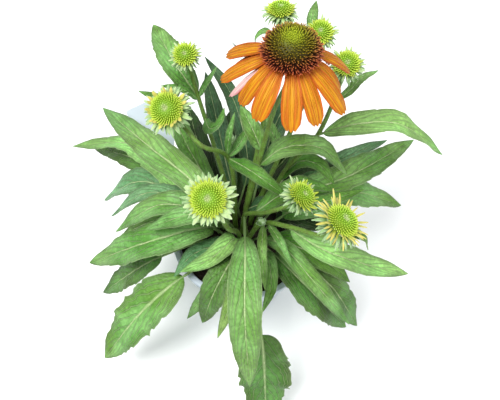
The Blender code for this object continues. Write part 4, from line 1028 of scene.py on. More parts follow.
def leaf_piece(name, rib, width, fold, look, stalk_share, level_share, foliage):
    """A veined blade with toothed waving edges and a raised rib that runs on as its stalk."""
    tone, teeth, wave = look
    dice = random.Random(name)
    route = smooth_route(rib)
    stations = np.linspace(0, 1, LEAF_ROWS * 2 + 1)
    points, headings = route_stations(route, stalk_share + (1 - stalk_share) * stations)
    sides = carried_sides(headings, round(level_share * (len(stations) - 1)))
    normals = np.cross(sides, headings)
    turns = dice.uniform(0, math.tau)
    toothed = 1 + (foliage.tooth_depth * teeth * tooth_at(stations, turns)
                   * np.sin(math.pi * stations))
    stalk_half = STALK_RADIUS * (1 - np.minimum(1.0, stations * GROWN_AT)) * STALK_HALF_SHARE
    halves = np.maximum(lance_outline(stations) * toothed * width / 2, stalk_half)
    halves = np.maximum(halves, LEAST_HALF_WIDTH)
    waves = dice.uniform(*EDGE_WAVES)
    vein_depth = foliage.vein_depth / MM

    def rise(across, along, half):
        out = np.abs(across)
        grown = np.minimum(1.0, along * GROWN_AT)
        lift = np.tan(math.radians(fold) * grown) * out * half * FOLD_LIFT
        belly = BELLY * half * np.sin(math.pi * out)
        edge = wave * foliage.edge_wave * half * out ** 2 * np.sin(
            math.tau * waves * along + turns + across * WAVE_SKEW)
        phase = vein_phase(out, along)
        gap = np.abs((phase + 0.5) % 1.0 - 0.5) * (1 + VEIN_EDGE_GAP - out)
        pucker = 0.5 * np.sin(math.tau * phase + turns) * np.sin(out * PUCKER_ROWS + turns)
        rates = PUCKER_RATES
        pucker = pucker + 0.5 * (np.sin(along * rates[0] + across * rates[1])
                                 * np.sin(out * rates[2] + along * rates[3]))
        fade = np.sin(math.pi * np.clip(along, 0, 1)) * (1 - out ** 4)
        sunk = vein_depth * fade * (np.exp(-(gap / VEIN_WIDTH) ** 2) - PUCKER_SHARE * pucker)
        return lift + belly + edge - sunk - BLADE_SINK

    blade = lay_sheet(name, LEAF_COLUMNS, LEAF_ROWS, points, sides, normals, halves, rise)
    give(blade, FINISHES["leaf_" + tone], FINISHES["leaf_under"])
    thicken(blade, foliage.blade_thickness)

    rib_shares = np.linspace(0.0, RIB_END, RIB_STATIONS)
    rib_points, _ = route_stations(route, rib_shares)
    down = np.clip((rib_shares - stalk_share) / (1 - stalk_share), 0, 1)
    radii = (STALK_RADIUS * (1 - down) ** RIB_TAPER * np.where(down > 0, RIB_SHARE, 1.0)
             * min(1.0, NARROW_RIB + width / RIB_GAIN_WIDTH))
    radii = np.maximum(radii, LEAST_RIB_RADIUS)
    sink = (radii * RIB_SINK)[:, None] * np.minimum(1.0, down * RIB_SINK_ONSET)[:, None]
    sunk_points = rib_points - read_off(down, stations, normals) * sink
    stalk = tapered_tube(name + "_rib", sunk_points, radii)
    places = coordinates(stalk.data) / MM
    nearest = np.linalg.norm(places[:, None] - rib_points[None], axis=2).argmin(axis=1)
    store_share(stalk.data, "along", down[nearest])
    give(stalk, FINISHES["rib"])
    return join_pieces(name, [blade, stalk])


# How far a stalk's and a stem's root goes straight up from the soil before it bends
STALK_RISE, STEM_RISE = 3, 4


def build_basal_leaves(foliage):
    for name, root, width, fold, rib in BASAL_LEAVES + INNER_LEAVES:
        whole_rib = [(*root, SOIL_CROWN - ROOT_DEPTH), (*root, SOIL_CROWN + STALK_RISE)] + rib
        leaf = leaf_piece(name.replace("leaf_", "blade_"), whole_rib, width, fold,
                          LEAF_LOOKS.get(name, PLAIN_LOOK),
                          LONG_STALKS.get(name, BASAL_STALK_SHARE), BASAL_LEVEL_SHARE, foliage)
        finish_piece(leaf, "leaf", name)


# Bloom's own head, as the stems see it
BLOOM_HEAD = dict(centre=BLOOM_CENTRE, axis=BLOOM_AXIS, disc=CONE_RADIUS)
# How far a stem runs on into its head
STEM_INTO_HEAD = 2


def stem_route(name):
    """A stem from its hole in the soil to the underside of its flower head."""
    foot, *rest = STEM_ROUTES[name]
    head = HEADS.get(name, BLOOM_HEAD)
    axis = unit(np.array(head["axis"], dtype=float))
    base = np.array(head["centre"], dtype=float) - axis * head["disc"] * RECEPTACLE_DEPTH
    root = [(*foot, SOIL_CROWN - ROOT_DEPTH), (*foot, SOIL_CROWN + STEM_RISE)]
    return smooth_route(root + rest + [base - axis * STEM_NECK, base + axis * STEM_INTO_HEAD])


def nearest_on(route, point):
    return route[np.argmin(np.linalg.norm(route - np.array(point, dtype=float), axis=1))]


SMALL_BLADE_COLUMNS, SMALL_BLADE_ROWS = 6, 8
SMALL_BLADE_THICKNESS = 0.35 * MM
# Two low ridges along a small blade
SMALL_RIDGE = 0.12
BRACT_OUTLINE = (0.75, 1.0, 0.92, 0.7, 0.42, 0.12)
RAY_OUTLINE = (0.7, 0.92, 1.0, 0.94, 0.68, 0.16)


def curled_blade(name, length, width, start, end, outline, finish, arch=0.12):
    """A small blade along +X that leaves at the start angle and bends to the end angle."""
    stations = np.linspace(0, 1, SMALL_BLADE_ROWS * 2 + 1)
    slopes = np.radians(start + (end - start) * stations)
    headings = np.stack([np.cos(slopes), np.zeros_like(slopes), np.sin(slopes)], axis=1)
    steps = headings[:-1] * length / (len(stations) - 1)
    points = np.vstack([[0, 0, 0], np.cumsum(steps, axis=0)])
    sides = np.tile(np.array([0.0, -1.0, 0.0]), (len(stations), 1))
    halves = width / 2 * np.interp(stations, np.linspace(0, 1, len(outline)), outline)
    blade = lay_sheet(name, SMALL_BLADE_COLUMNS, SMALL_BLADE_ROWS, points, sides,
                      np.cross(sides, headings), halves,
                      lambda across, along, half:
                      -arch * half * across ** 2 - SMALL_RIDGE * np.cos(across * math.tau))
    return thicken(give(blade, finish), SMALL_BLADE_THICKNESS)


# Unevenness of a ring of blades: bearing, then the size and the tilt as parts of its spread
BEARING_DRIFT = 0.25
SIZE_DRIFT = (-2.4, 1.0)
TILT_DRIFT = 2.4


def ring_of_blades(name, template, frame_matrix, count, root_radius, height, seed, spread=0.06,
                   turn=0.0):
    """Copies of a blade round a head, each turned, tilted and sized a little differently."""
    dice = random.Random(seed)
    placings = []
    for index in range(count):
        drift = dice.uniform(-BEARING_DRIFT, BEARING_DRIFT)
        bearing = math.tau * (index + turn + drift) / count
        size = 1 + dice.uniform(*SIZE_DRIFT) * spread
        tilt = dice.uniform(-TILT_DRIFT, TILT_DRIFT) * spread
        placings.append(frame_matrix @ Matrix.Rotation(bearing, 4, "Z")
                        @ Matrix.Translation((root_radius * MM, 0, height * MM))
                        @ Matrix.Rotation(tilt, 4, "Y") @ Matrix.Scale(size, 4))
    return stamped(name, template, placings)


# Cup under a head: shares of the disc's radius and of the cup's depth, up to the ray plate
CUP_PROFILE = ((0.42, 0.9), (0.66, 0.6), (0.84, 0.3))
CUP_TOP = 0.9
CUP_SIDES = 32
# Whorls of bracts: root as a share of the disc, angles left and ended at
BRACT_WHORLS = ((0.88, 12, -40), (0.80, -4, -66), (0.66, -16, -96))
BRACT_LENGTH, BRACT_WIDTH, BRACT_ARCH, BRACT_SPREAD = 0.8, 0.22, 0.4, 0.13
BRACTS_LEAST, BRACTS_A_MM = 10, 0.9
WHORL_FIRST, WHORL_STEP = 0.18, 0.22


def head_underside(name, frame_matrix, disc, seed):
    """The cup under a head and three whorls of pointed bracts that curl out and down from it."""
    depth = disc * RECEPTACLE_DEPTH
    profile = [(STEM_TOP_RADIUS + NECK_GAIN, -depth)]
    profile += [(disc * share, -depth * down) for share, down in CUP_PROFILE]
    cup = turned_piece(name + "_cup", profile + [(disc * CUP_TOP, -RAY_PLATE)], CUP_SIDES)
    cup.data.transform(frame_matrix)
    whorls = [give(cup, FINISHES["bract"])]
    for whorl, (share, start, end) in enumerate(BRACT_WHORLS):
        template = curled_blade(name + "_bract", disc * BRACT_LENGTH, disc * BRACT_WIDTH,
                                start, end, BRACT_OUTLINE, FINISHES["bract"], BRACT_ARCH)
        whorls.append(ring_of_blades(
            name + "_whorl", template, frame_matrix, round(BRACTS_LEAST + disc * BRACTS_A_MM),
            disc * share, -depth * (WHORL_FIRST + WHORL_STEP * whorl), seed + whorl, BRACT_SPREAD))
    return join_pieces(name, whorls)


# Core under a head's spikes: rings, their last angle, radius share and how far it stays below them
CORE_RINGS, CORE_LAST_ANGLE, CORE_SHARE, CORE_SINK, CORE_SIDES = 11, 88, 0.95, 0.6, 40
CORE_FOOT_SHARE, CORE_TIP_SHARE = 0.9, 0.2
DIMPLE_REACH = 0.22
# Spikes: sides and profile, then radius share, sink, packing from the middle out, and growth
SPIKE_SIDES = 6
SPIKE_PROFILE = [(0.34, 0.0), (0.5, 0.4), (0.34, 0.75), (0.05, 1.0)]
SPIKE_RING_SHARE, SPIKE_SINK, SPIKE_PACKING, SPIKE_DRIFT = 0.97, 0.8, 0.56, 0.2
WIDTH_GROWTH, LENGTH_GROWTH = 0.5, 0.7
GOLDEN_ANGLE = math.pi * (3 - math.sqrt(5))


def floret_dome(name, frame_matrix, radius, dome, base, foot, count, dimple, size, length, lean,
                splay, stray, finish):
    """A dome under spiralling spikes; size and length run from the middle to the rim."""
    dice = random.Random(name)

    def hollow(ring):
        return dimple * math.exp(-(ring / (radius * DIMPLE_REACH)) ** 2)

    profile = [(radius * CORE_FOOT_SHARE, foot), (radius * CORE_SHARE, base)]
    for step in range(1, CORE_RINGS + 1):
        angle = math.radians(CORE_LAST_ANGLE * step / CORE_RINGS)
        ring = radius * CORE_SHARE * math.cos(angle)
        profile.append((ring, base + (dome - CORE_SINK) * math.sin(angle) - hollow(ring)))
    core = turned_piece(name + "_core", profile, CORE_SIDES)
    places = coordinates(core.data) / MM
    store_share(core.data, "ring", np.hypot(places[:, 0], places[:, 1]) / radius)
    store_share(core.data, "tip", np.full(len(places), CORE_TIP_SHARE))
    core.data.transform(frame_matrix)
    spike = turned_piece(name + "_spike", SPIKE_PROFILE, SPIKE_SIDES)
    heights = coordinates(spike.data)[:, 2] / MM
    store_share(spike.data, "tip", heights / max(heights))
    placings, rings = [], []
    for index in range(count):
        share = (index + 0.5) / count
        polar = (math.pi / 2 * share ** SPIKE_PACKING
                 + dice.uniform(-SPIKE_DRIFT, SPIKE_DRIFT) * stray)
        bearing = index * GOLDEN_ANGLE + dice.uniform(-SPIKE_DRIFT, SPIKE_DRIFT) * stray
        ring = radius * SPIKE_RING_SHARE * math.sin(polar)
        level = base + (dome - SPIKE_SINK) * math.cos(polar) - hollow(ring)
        outward = Vector((math.cos(bearing), math.sin(bearing), 0))
        place = (outward * ring + Vector((0, 0, level))) * MM
        normal = (outward * (math.sin(polar) / radius)
                  + Vector((0, 0, math.cos(polar) / dome))).normalized()
        wander = Vector([dice.uniform(-1, 1) for _ in range(3)]) * stray
        heading = (normal * (1 - lean) + Vector((0, 0, lean)) + outward * splay * math.sin(polar)
                   + wander).normalized()
        wide = size[0] + (size[1] - size[0]) * share ** WIDTH_GROWTH
        tall = length[0] + (length[1] - length[0]) * share ** LENGTH_GROWTH
        tall *= dice.uniform(1 - 2 * stray, 1 + stray)
        placings.append(frame_matrix @ Matrix.Translation(place) @ turned_to(heading)
                        @ Matrix.Diagonal((wide, wide, tall, 1)))
        rings.append(ring / radius)
    spikes = stamped(name + "_spikes", spike, placings, rings)
    return give_all(join_pieces(name, [core, spikes]), FINISHES[finish])


# Side bud: stalk, ball by shares of its radius, and the bracts that clasp it
SIDE_STALK_RADIUS, SIDE_STALK_REACH, SIDE_STALK_STEP = 1.1, 12.0, 20
SIDE_BALL_PROFILE = ((0.4, -1.0), (0.85, -0.6), (1.0, 0.0), (0.8, 0.6), (0.3, 0.85))
SIDE_BRACT = dict(length=6.5, width=2.6, start=62, end=96)
SIDE_BRACTS, SIDE_BRACT_ROOT, SIDE_BRACT_LEVEL, SIDE_SEED = 9, 0.75, -1.5, 5


def side_bud(core, centre):
    """A small unopened bud on its own short stalk, clasped by pointed bracts."""
    centre = np.array(centre, dtype=float)
    foot = nearest_on(core, centre - UP * SIDE_STALK_REACH)
    route = smooth_route([foot, (foot + centre) / 2, centre])[::SIDE_STALK_STEP]
    stalk = tapered_tube("side_stalk", route, np.full(len(route), SIDE_STALK_RADIUS))
    matrix = head_frame(centre, centre - foot)
    ball = turned_piece("side_ball", [(SIDE_BUD_RADIUS * ring, SIDE_BUD_RADIUS * height)
                                      for ring, height in SIDE_BALL_PROFILE], 16)
    ball.data.transform(matrix)
    template = curled_blade("side_bract", outline=BRACT_OUTLINE, finish=FINISHES["bract"],
                            **SIDE_BRACT)
    bracts = ring_of_blades("side_bracts", template, matrix, SIDE_BRACTS,
                            SIDE_BUD_RADIUS * SIDE_BRACT_ROOT, SIDE_BRACT_LEVEL, SIDE_SEED)
    return [give(stalk, FINISHES["stem"]), give(ball, FINISHES["bract"]), bracts]


# Hairs: root and tip radius, reach along the stem, length range and how deep each is rooted
HAIR_PROFILE = [(0.09, 0.0), (0.03, 1.0)]
HAIR_REACH = (0.1, 0.96)
HAIR_LENGTHS = (0.7, 1.5)
HAIR_ROOT = 0.9
HAIR_AHEAD = 0.02


def stem_hairs(points, radii, count, seed):
    """Short fine hairs that stand out all round a stem."""
    dice = random.Random(seed)
    template = turned_piece("hair", HAIR_PROFILE, 3)
    shares = np.linspace(0, 1, len(points))
    placings = []
    for _ in range(count):
        share = dice.uniform(*HAIR_REACH)
        place, ahead = read_off([share, share + HAIR_AHEAD], shares, points)
        around = Vector(unit(ahead - place)).orthogonal().normalized()
        turn = Matrix.Rotation(dice.uniform(0, math.tau), 3, Vector(ahead - place))
        heading = turn @ around
        start = Vector(place) + heading * float(np.interp(share, shares, radii)) * HAIR_ROOT
        placings.append(Matrix.Translation(start * MM) @ turned_to(heading)
                        @ Matrix.Diagonal((1, 1, dice.uniform(*HAIR_LENGTHS), 1)))
    return give_all(stamped("hairs", template, placings), FINISHES["hair"])


# Stem: stations, skin over its solid, and where and how fast it widens under its head
STEM_STATIONS = 28
STEM_SKIN = 0.3
STEM_FLARE_FROM, STEM_FLARE = 0.93, 12
NECK_GAIN = 0.9
BLOOM_UNDERSIDE = CONE_RADIUS * 0.7
BLOOM_SEED, HEAD_SEED, HEAD_SEED_STEP = 70, 80, 5


def build_stems(foliage):
    for order, name in enumerate(STEM_ROUTES):
        node_name = "stem_" + name
        route = stem_route(name)
        shares = np.linspace(0, 1, STEM_STATIONS)
        points, _ = route_stations(route, shares)
        radii = STEM_FOOT_RADIUS + (STEM_TOP_RADIUS - STEM_FOOT_RADIUS) * shares + STEM_SKIN
        radii = radii + np.maximum(shares - STEM_FLARE_FROM, 0) * STEM_FLARE
        stalk = tapered_tube("stalk_" + name, points, radii, resolution=4)
        parts = [give(stalk, FINISHES["stem"]),
                 stem_hairs(points, radii, foliage.hairs_a_stem, order)]
        for stem, centre in SIDE_BUDS:
            if stem == name:
                parts += side_bud(route, centre)
        finish_piece(join_pieces("stalk_" + name, parts), "stem", node_name)
        leaves = []
        for index, (width, fold, rib) in enumerate(STEM_LEAVES[name]):
            key = f"{name}_{index}"
            leaves.append(leaf_piece(
                f"{name}_leaf_{index}", [nearest_on(route, rib[0])] + rib[1:], width, fold,
                LEAF_LOOKS.get(key, PLAIN_LOOK), LONG_STALKS.get(key, STEM_LEAF_STALK_SHARE),
                STEM_LEAF_LEVEL_SHARE, foliage))
        finish_piece(join_pieces("leaves_on_" + name, leaves), "leaf", node_name)
        if name == "bloom":
            matrix = (head_frame(BLOOM_CENTRE, BLOOM_AXIS)
                      @ Matrix.Translation((0, 0, -COLLAR_DEPTH * MM)))
            under = head_underside("bracts_bloom", matrix, BLOOM_UNDERSIDE, BLOOM_SEED)
        else:
            head = HEADS[name]
            under = head_underside("bracts_" + name, head_frame(head["centre"], head["axis"]),
                                   head["disc"], HEAD_SEED + HEAD_SEED_STEP * order)
        finish_piece(under, "stem", node_name)


# Rays of each bud: finish, count, width and length shares, angles left and ended at, unevenness
RAY_LOOKS = {
    "upper_left": (("ray_yellow", 20, 0.22, 0.85, 60, 34, 0.14),
                   ("ray", 28, 0.20, 1.1, 16, -34, 0.13)),
    "right_low": (("ray_yellow", 24, 0.14, 0.95, 34, 8, 0.14),
                  ("ray_yellow", 18, 0.16, 0.85, 6, -30, 0.16)),
    "front_left": (("ray_gold", 30, 0.12, 0.55, 50, 24, 0.12), ("ray", 22, 0.24, 0.9, 34, 0, 0.12),
                   ("ray", 22, 0.26, 1.15, 8, -34, 0.14)),
}
PLAIN_RAYS = (("ray_gold", 20, 0.16, 0.85, 58, 22, 0.14), ("ray", 20, 0.20, 1.15, 26, -16, 0.14))
# Share of a bud's disc under its dome; the outer florets lean out over the rest
DISC_SHARE = 0.8
FLORET_PACKING = 1.5
# Florets: depth of the dimple as a share of the dome, then size, length and how they lean and stray
FLORET_DIMPLE = 0.5
FLORETS = dict(size=(0.95, 1.2), length=(1.5, 4.4), lean=0.15, splay=0.45, stray=0.07,
               finish="floret")
# Ray whorls: share of the disc that a ray adds to its length, arch, then place and step of a whorl
RAY_DISC_SHARE, RAY_ARCH = 0.24, 0.5
RAY_RING, RAY_RING_STEP = 0.82, 0.02
RAY_LEVEL, RAY_LEVEL_STEP = 0.5, 0.6
RAY_SEED, RAY_SEED_STEP, RAY_TURN = 30, 3, 0.5


def build_bud_heads(flowers):
    largest = max(head["disc"] for head in HEADS.values())
    for order, (name, head) in enumerate(HEADS.items()):
        matrix = head_frame(head["centre"], head["axis"])
        radius, dome = head["disc"], head["dome"]
        count = round(flowers.disc_florets * (radius / largest) ** FLORET_PACKING)
        disc = floret_dome("florets_" + name, matrix, radius * DISC_SHARE, dome,
                           FIT_GAP + RAY_PLATE, FIT_GAP, count, dome * FLORET_DIMPLE, **FLORETS)
        finish_piece(disc, "floret", "disc_" + name)
        whorls = []
        for whorl, (slot, rays, width, reach, start, end, spread) in enumerate(
                RAY_LOOKS.get(name, PLAIN_RAYS)):
            template = curled_blade("ray_" + name, (head["ray"] + radius * RAY_DISC_SHARE) * reach,
                                    radius * width, start, end, RAY_OUTLINE, FINISHES[slot],
                                    RAY_ARCH)
            whorls.append(ring_of_blades(
                "ray_whorl", template, matrix, rays, radius * (RAY_RING - RAY_RING_STEP * whorl),
                RAY_LEVEL - RAY_LEVEL_STEP * whorl, RAY_SEED + RAY_SEED_STEP * order + whorl,
                spread, RAY_TURN * whorl))
        ring = join_pieces("ray_ring_" + name, whorls)
        finish_piece(ring, "ray", ("rays_" if head["own_rays"] else "disc_") + name)


# Petal that is rolled lengthwise and shows its pink underside, and its share of the full width
ROLLED_PETAL = 10
ROLLED_WIDTH = 0.5
PETAL_OUTLINE_AT = (0.0, 0.12, 0.34, 0.56, 0.78, 0.92, 1.0)
PETAL_OUTLINE = (0.34, 0.56, 0.88, 1.0, 0.95, 0.80, 0.60)
PETAL_COLUMNS, PETAL_ROWS, PETAL_STATIONS = 14, 34, 49
PETAL_THICKNESS = 0.45 * MM
# Slope at the hinge and at the tip as parts of the droop, and the steepest slope
HINGE_SLOPE, TIP_SLOPE, STEEPEST_SLOPE = 0.55, 1.35, 84
PETAL_TOP, PETAL_LIFT = 0.5, 0.2
PETAL_ROLLS, PETAL_TWIST = (0.08, 0.2), 0.16
RIDGE_HEIGHT, RIDGES, RIDGE_REACH = 0.34, 1.5, 1.05
# Notches of the tip: depth and width of a tooth, rounding of the corners, and how near the tip
NOTCH_DEPTH, NOTCH_WIDTH, CORNER_CUT, CORNER_CURVE, NOTCH_ONSET = 0.020, 0.62, 0.10, 3.5, 8


def petal_piece(index, bearing, droop, length, width, layer, frame_matrix):
    """A long blunt petal with two lengthwise ridges and a three-toothed tip."""
    dice = random.Random(index)
    outward = np.array([math.cos(math.radians(bearing)), math.sin(math.radians(bearing)), 0.0])
    root = PETAL_HINGE_RADIUS - PETAL_ROOT_RADIUS
    first_slope = math.radians(droop * HINGE_SLOPE)
    last_slope = math.radians(min(droop * TIP_SLOPE, STEEPEST_SLOPE))
    stations = np.linspace(0, 1, PETAL_STATIONS)
    walked = stations * (root + length)
    bend = np.clip((walked - root) / length, 0, 1)
    slopes = np.where(walked < root, 0.0, first_slope + (last_slope - first_slope) * bend)
    headings = np.outer(np.cos(slopes), outward) - np.outer(np.sin(slopes), UP)
    steps = headings[:-1] * (walked[1] - walked[0])
    start = outward * PETAL_ROOT_RADIUS - UP * (PETAL_TOP + layer * PETAL_LAYER_DROP)
    points = start + np.vstack([[0, 0, 0], np.cumsum(steps, axis=0)])
    sides = np.tile(np.cross(outward, UP), (len(stations), 1))
    halves = width / 2 * np.interp(stations, PETAL_OUTLINE_AT, PETAL_OUTLINE)
    rolled = index == ROLLED_PETAL
    if rolled:
        halves = halves * ROLLED_WIDTH
    roll = 1.0 if rolled else dice.uniform(*PETAL_ROLLS)
    twist = dice.uniform(-PETAL_TWIST, PETAL_TWIST)

    def rise(across, along, half):
        ridges = (RIDGE_HEIGHT * np.cos(math.tau * across * RIDGES)
                  * np.sin(math.pi * np.clip(along * RIDGE_REACH, 0, 1)))
        return PETAL_LIFT - roll * half * across ** 2 - ridges + twist * across * half * along

    def cut_tip(across, along):
        notch = (NOTCH_DEPTH * (1 - np.cos(math.tau * across / NOTCH_WIDTH))
                 + CORNER_CUT * np.abs(across) ** CORNER_CURVE)
        return along * (1 - notch * along ** NOTCH_ONSET)

    petal = lay_sheet(f"petal_{index:02d}", PETAL_COLUMNS, PETAL_ROWS, points, sides,
                      np.cross(sides, headings), halves, rise, cut_tip)
    give(petal, FINISHES["petal_rolled" if rolled else "petal"], FINISHES["petal_under"])
    thicken(petal, PETAL_THICKNESS)
    petal.data.transform(frame_matrix)
    return petal


# Collar under the petals: shares of the cone's radius, and heights
COLLAR_PROFILE = ((0.7, -COLLAR_DEPTH), (0.84, -COLLAR_DEPTH * 0.6), (0.86, -1.0), (0.8, -0.2))
CONE_BASE, CONE_FOOT = FIT_GAP + 2.4, FIT_GAP + 0.4
SPINES = dict(dimple=0.6, size=(0.85, 1.15), length=(1.5, 6.2), lean=0.1, splay=0.2, stray=0.16,
              finish="cone")


def build_bloom(flowers):
    matrix = head_frame(BLOOM_CENTRE, BLOOM_AXIS)
    petals = [petal_piece(index, *petal, matrix) for index, petal in enumerate(PETALS)]
    collar = turned_piece("collar", [(CONE_RADIUS * share, height)
                                     for share, height in COLLAR_PROFILE], 48)
    collar.data.transform(matrix)
    give(collar, FINISHES["collar"])
    finish_piece(join_pieces("petals", petals + [collar]), "petal", "bloom_petals")
    cone = floret_dome("cone_of_spines", matrix, CONE_RADIUS, CONE_HEIGHT, CONE_BASE, CONE_FOOT,
                       flowers.cone_spines, **SPINES)
    finish_piece(cone, "cone", "bloom_cone")


def wall_radius(height):
    """Outer radius of the pot's tapering wall at a height."""
    return POT_BASE_RADIUS + (POT_RIM_RADIUS - LIP_WIDTH - POT_BASE_RADIUS) * height / POT_HEIGHT


def rounded(centre_radius, centre_height, curve, first, last, steps=4):
    """Profile points along an arc, by its angle from level."""
    angles = [math.radians(first + (last - first) * step / steps) for step in range(steps + 1)]
    return [(centre_radius + curve * math.cos(a), centre_height + curve * math.sin(a))
            for a in angles]


# Moulded ring low on the wall: heights of its two edges and middle, and its depth
RING_HEIGHTS, RING_DEPTH = (14.0, 14.6, 15.2), 0.35
# Curves of the lip and the rim, and the length of the cylinder that cuts a drain hole
LIP_CURVE, RIM_CURVE, DRAIN_CUT = 1.4, 1.0, 12.0


def build_pot(ground):
    inner_top = wall_radius(POT_HEIGHT) - POT_WALL
    lip_foot = POT_HEIGHT - LIP_HEIGHT
    profile = [(POT_BASE_RADIUS - 1.0, 0.0), (wall_radius(0.4) - 0.2, 0.4), (wall_radius(1.2), 1.2)]
    profile += [(wall_radius(height) - depth, height)
                for height, depth in zip(RING_HEIGHTS, (0.0, RING_DEPTH, 0.0))]
    profile += [(wall_radius(lip_foot - 0.6), lip_foot - 0.6),
                (wall_radius(lip_foot) + 0.5, lip_foot),
                (POT_RIM_RADIUS - 1.0, lip_foot), (POT_RIM_RADIUS - 0.5, lip_foot + 0.5)]
    profile += rounded(POT_RIM_RADIUS - LIP_CURVE, POT_HEIGHT - LIP_CURVE, LIP_CURVE, 0, 90)
    profile += rounded(inner_top + RIM_CURVE, POT_HEIGHT - RIM_CURVE, RIM_CURVE, 90, 180)
    profile.append((wall_radius(POT_FLOOR) - POT_WALL, POT_FLOOR))
    pot = turned_piece("moulded_pot", profile, ground.pot_sides)
    deselect_all()
    holes = []
    for index in range(DRAIN_HOLES):
        bearing = math.tau * (index + 0.5) / DRAIN_HOLES
        bpy.ops.mesh.primitive_cylinder_add(
            vertices=32, radius=DRAIN_RADIUS * MM, depth=DRAIN_CUT * MM,
            location=(DRAIN_RING_RADIUS * math.cos(bearing) * MM,
                      DRAIN_RING_RADIUS * math.sin(bearing) * MM, 0))
        holes.append(bpy.context.object)
    cutter = join_pieces("drain_cutters", holes)
    make_active(pot)
    cut = pot.modifiers.new("Drain holes", "BOOLEAN")
    cut.operation = "DIFFERENCE"
    cut.solver = "EXACT"
    cut.object = cutter
    bpy.ops.object.modifier_apply(modifier=cut.name)
    bpy.data.objects.remove(cutter, do_unlink=True)
    give_all(pot, FINISHES["pot"])
    finish_piece(pot, "pot", "pot", smooth_below=35.0)


SOIL_TOP_RADIUS = wall_radius(SOIL_EDGE) - POT_WALL - FIT_GAP
SOIL_RINGS, SOIL_SIDES = 26, 84
# Lumps of the soil's top: height, scale, then the fractal's fall, step and octaves
LUMP_HEIGHT, LUMP_SCALE, LUMP_FRACTAL = 2.2, 0.22, (0.8, 2.1, 5)
# Crumbs: how far from the wall they stay, radii, flattening of two sides, lumpiness and its scale
CRUMB_MARGIN = 3
CRUMB_SIZES = (0.7, 1.0, 1.4, 2.2)
CRUMB_WIDTHS, CRUMB_HEIGHTS = (0.6, 1.0), (0.5, 0.9)
CRUMB_LUMPS, CRUMB_LUMP_SCALE, CRUMB_SEED = 0.3, 1400, 11


def soil_height(radius):
    """The soil's top, which rises from its edge to a level crown."""
    slope = (SOIL_TOP_RADIUS - radius) / (SOIL_TOP_RADIUS - SOIL_CROWN_RADIUS)
    return SOIL_EDGE + (SOIL_CROWN - SOIL_EDGE) * min(1.0, max(0.0, slope))


def build_soil(ground):
    """Peat with a lumpy top and loose crumbs, mounded a little at the crown."""
    bottom = POT_FLOOR + FIT_GAP
    profile = [(wall_radius(bottom) - POT_WALL - FIT_GAP, bottom), (SOIL_TOP_RADIUS, SOIL_EDGE - 2)]
    for step in range(SOIL_RINGS):
        radius = SOIL_TOP_RADIUS * (1 - step / SOIL_RINGS)
        profile.append((radius, soil_height(radius) - 1.0))
    soil = turned_piece("peat", profile, SOIL_SIDES)
    places = coordinates(soil.data) / MM
    for place in places:
        if place[2] > SOIL_EDGE - 1.5:
            place[2] += LUMP_HEIGHT * noise.fractal(Vector(place) * LUMP_SCALE, *LUMP_FRACTAL)
    set_coordinates(soil.data, places * MM)
    bpy.ops.mesh.primitive_ico_sphere_add(subdivisions=2, radius=MM)
    crumb = bpy.context.object
    lumps = coordinates(crumb.data)
    for place in lumps:
        place *= 1 + CRUMB_LUMPS * noise.noise(Vector(place) * CRUMB_LUMP_SCALE)
    set_coordinates(crumb.data, lumps)
    dice = random.Random(CRUMB_SEED)
    placings = []
    for _ in range(ground.crumbs):
        reach = (SOIL_TOP_RADIUS - CRUMB_MARGIN) * math.sqrt(dice.random())
        bearing = dice.uniform(0, math.tau)
        size = dice.choice(CRUMB_SIZES)
        turn = Matrix.Rotation(dice.uniform(0, math.tau), 4,
                               Vector((dice.random(), dice.random(), 0.4)))
        flat = Matrix.Diagonal((size, size * dice.uniform(*CRUMB_WIDTHS),
                                size * dice.uniform(*CRUMB_HEIGHTS), 1))
        placings.append(Matrix.Translation((reach * math.cos(bearing) * MM,
                                            reach * math.sin(bearing) * MM,
                                            (soil_height(reach) - 0.8) * MM)) @ turn @ flat)
    peat = join_pieces("peat", [soil, stamped("crumbs", crumb, placings)])
    give_all(peat, FINISHES["soil"])
    finish_piece(peat, "soil", "soil")


def build_tag():
    """The blank tag keeps its solid and takes a smooth plastic finish."""
    give(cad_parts["plant_tag"], FINISHES["tag"])


FLOOR_SIZE = 6.0
FLOOR_ROUGHNESS = 0.8
SKY_COLOUR = (0.97, 0.985, 1.0, 1.0)
LIGHT_AIM = Vector((0, 0, 0.2))


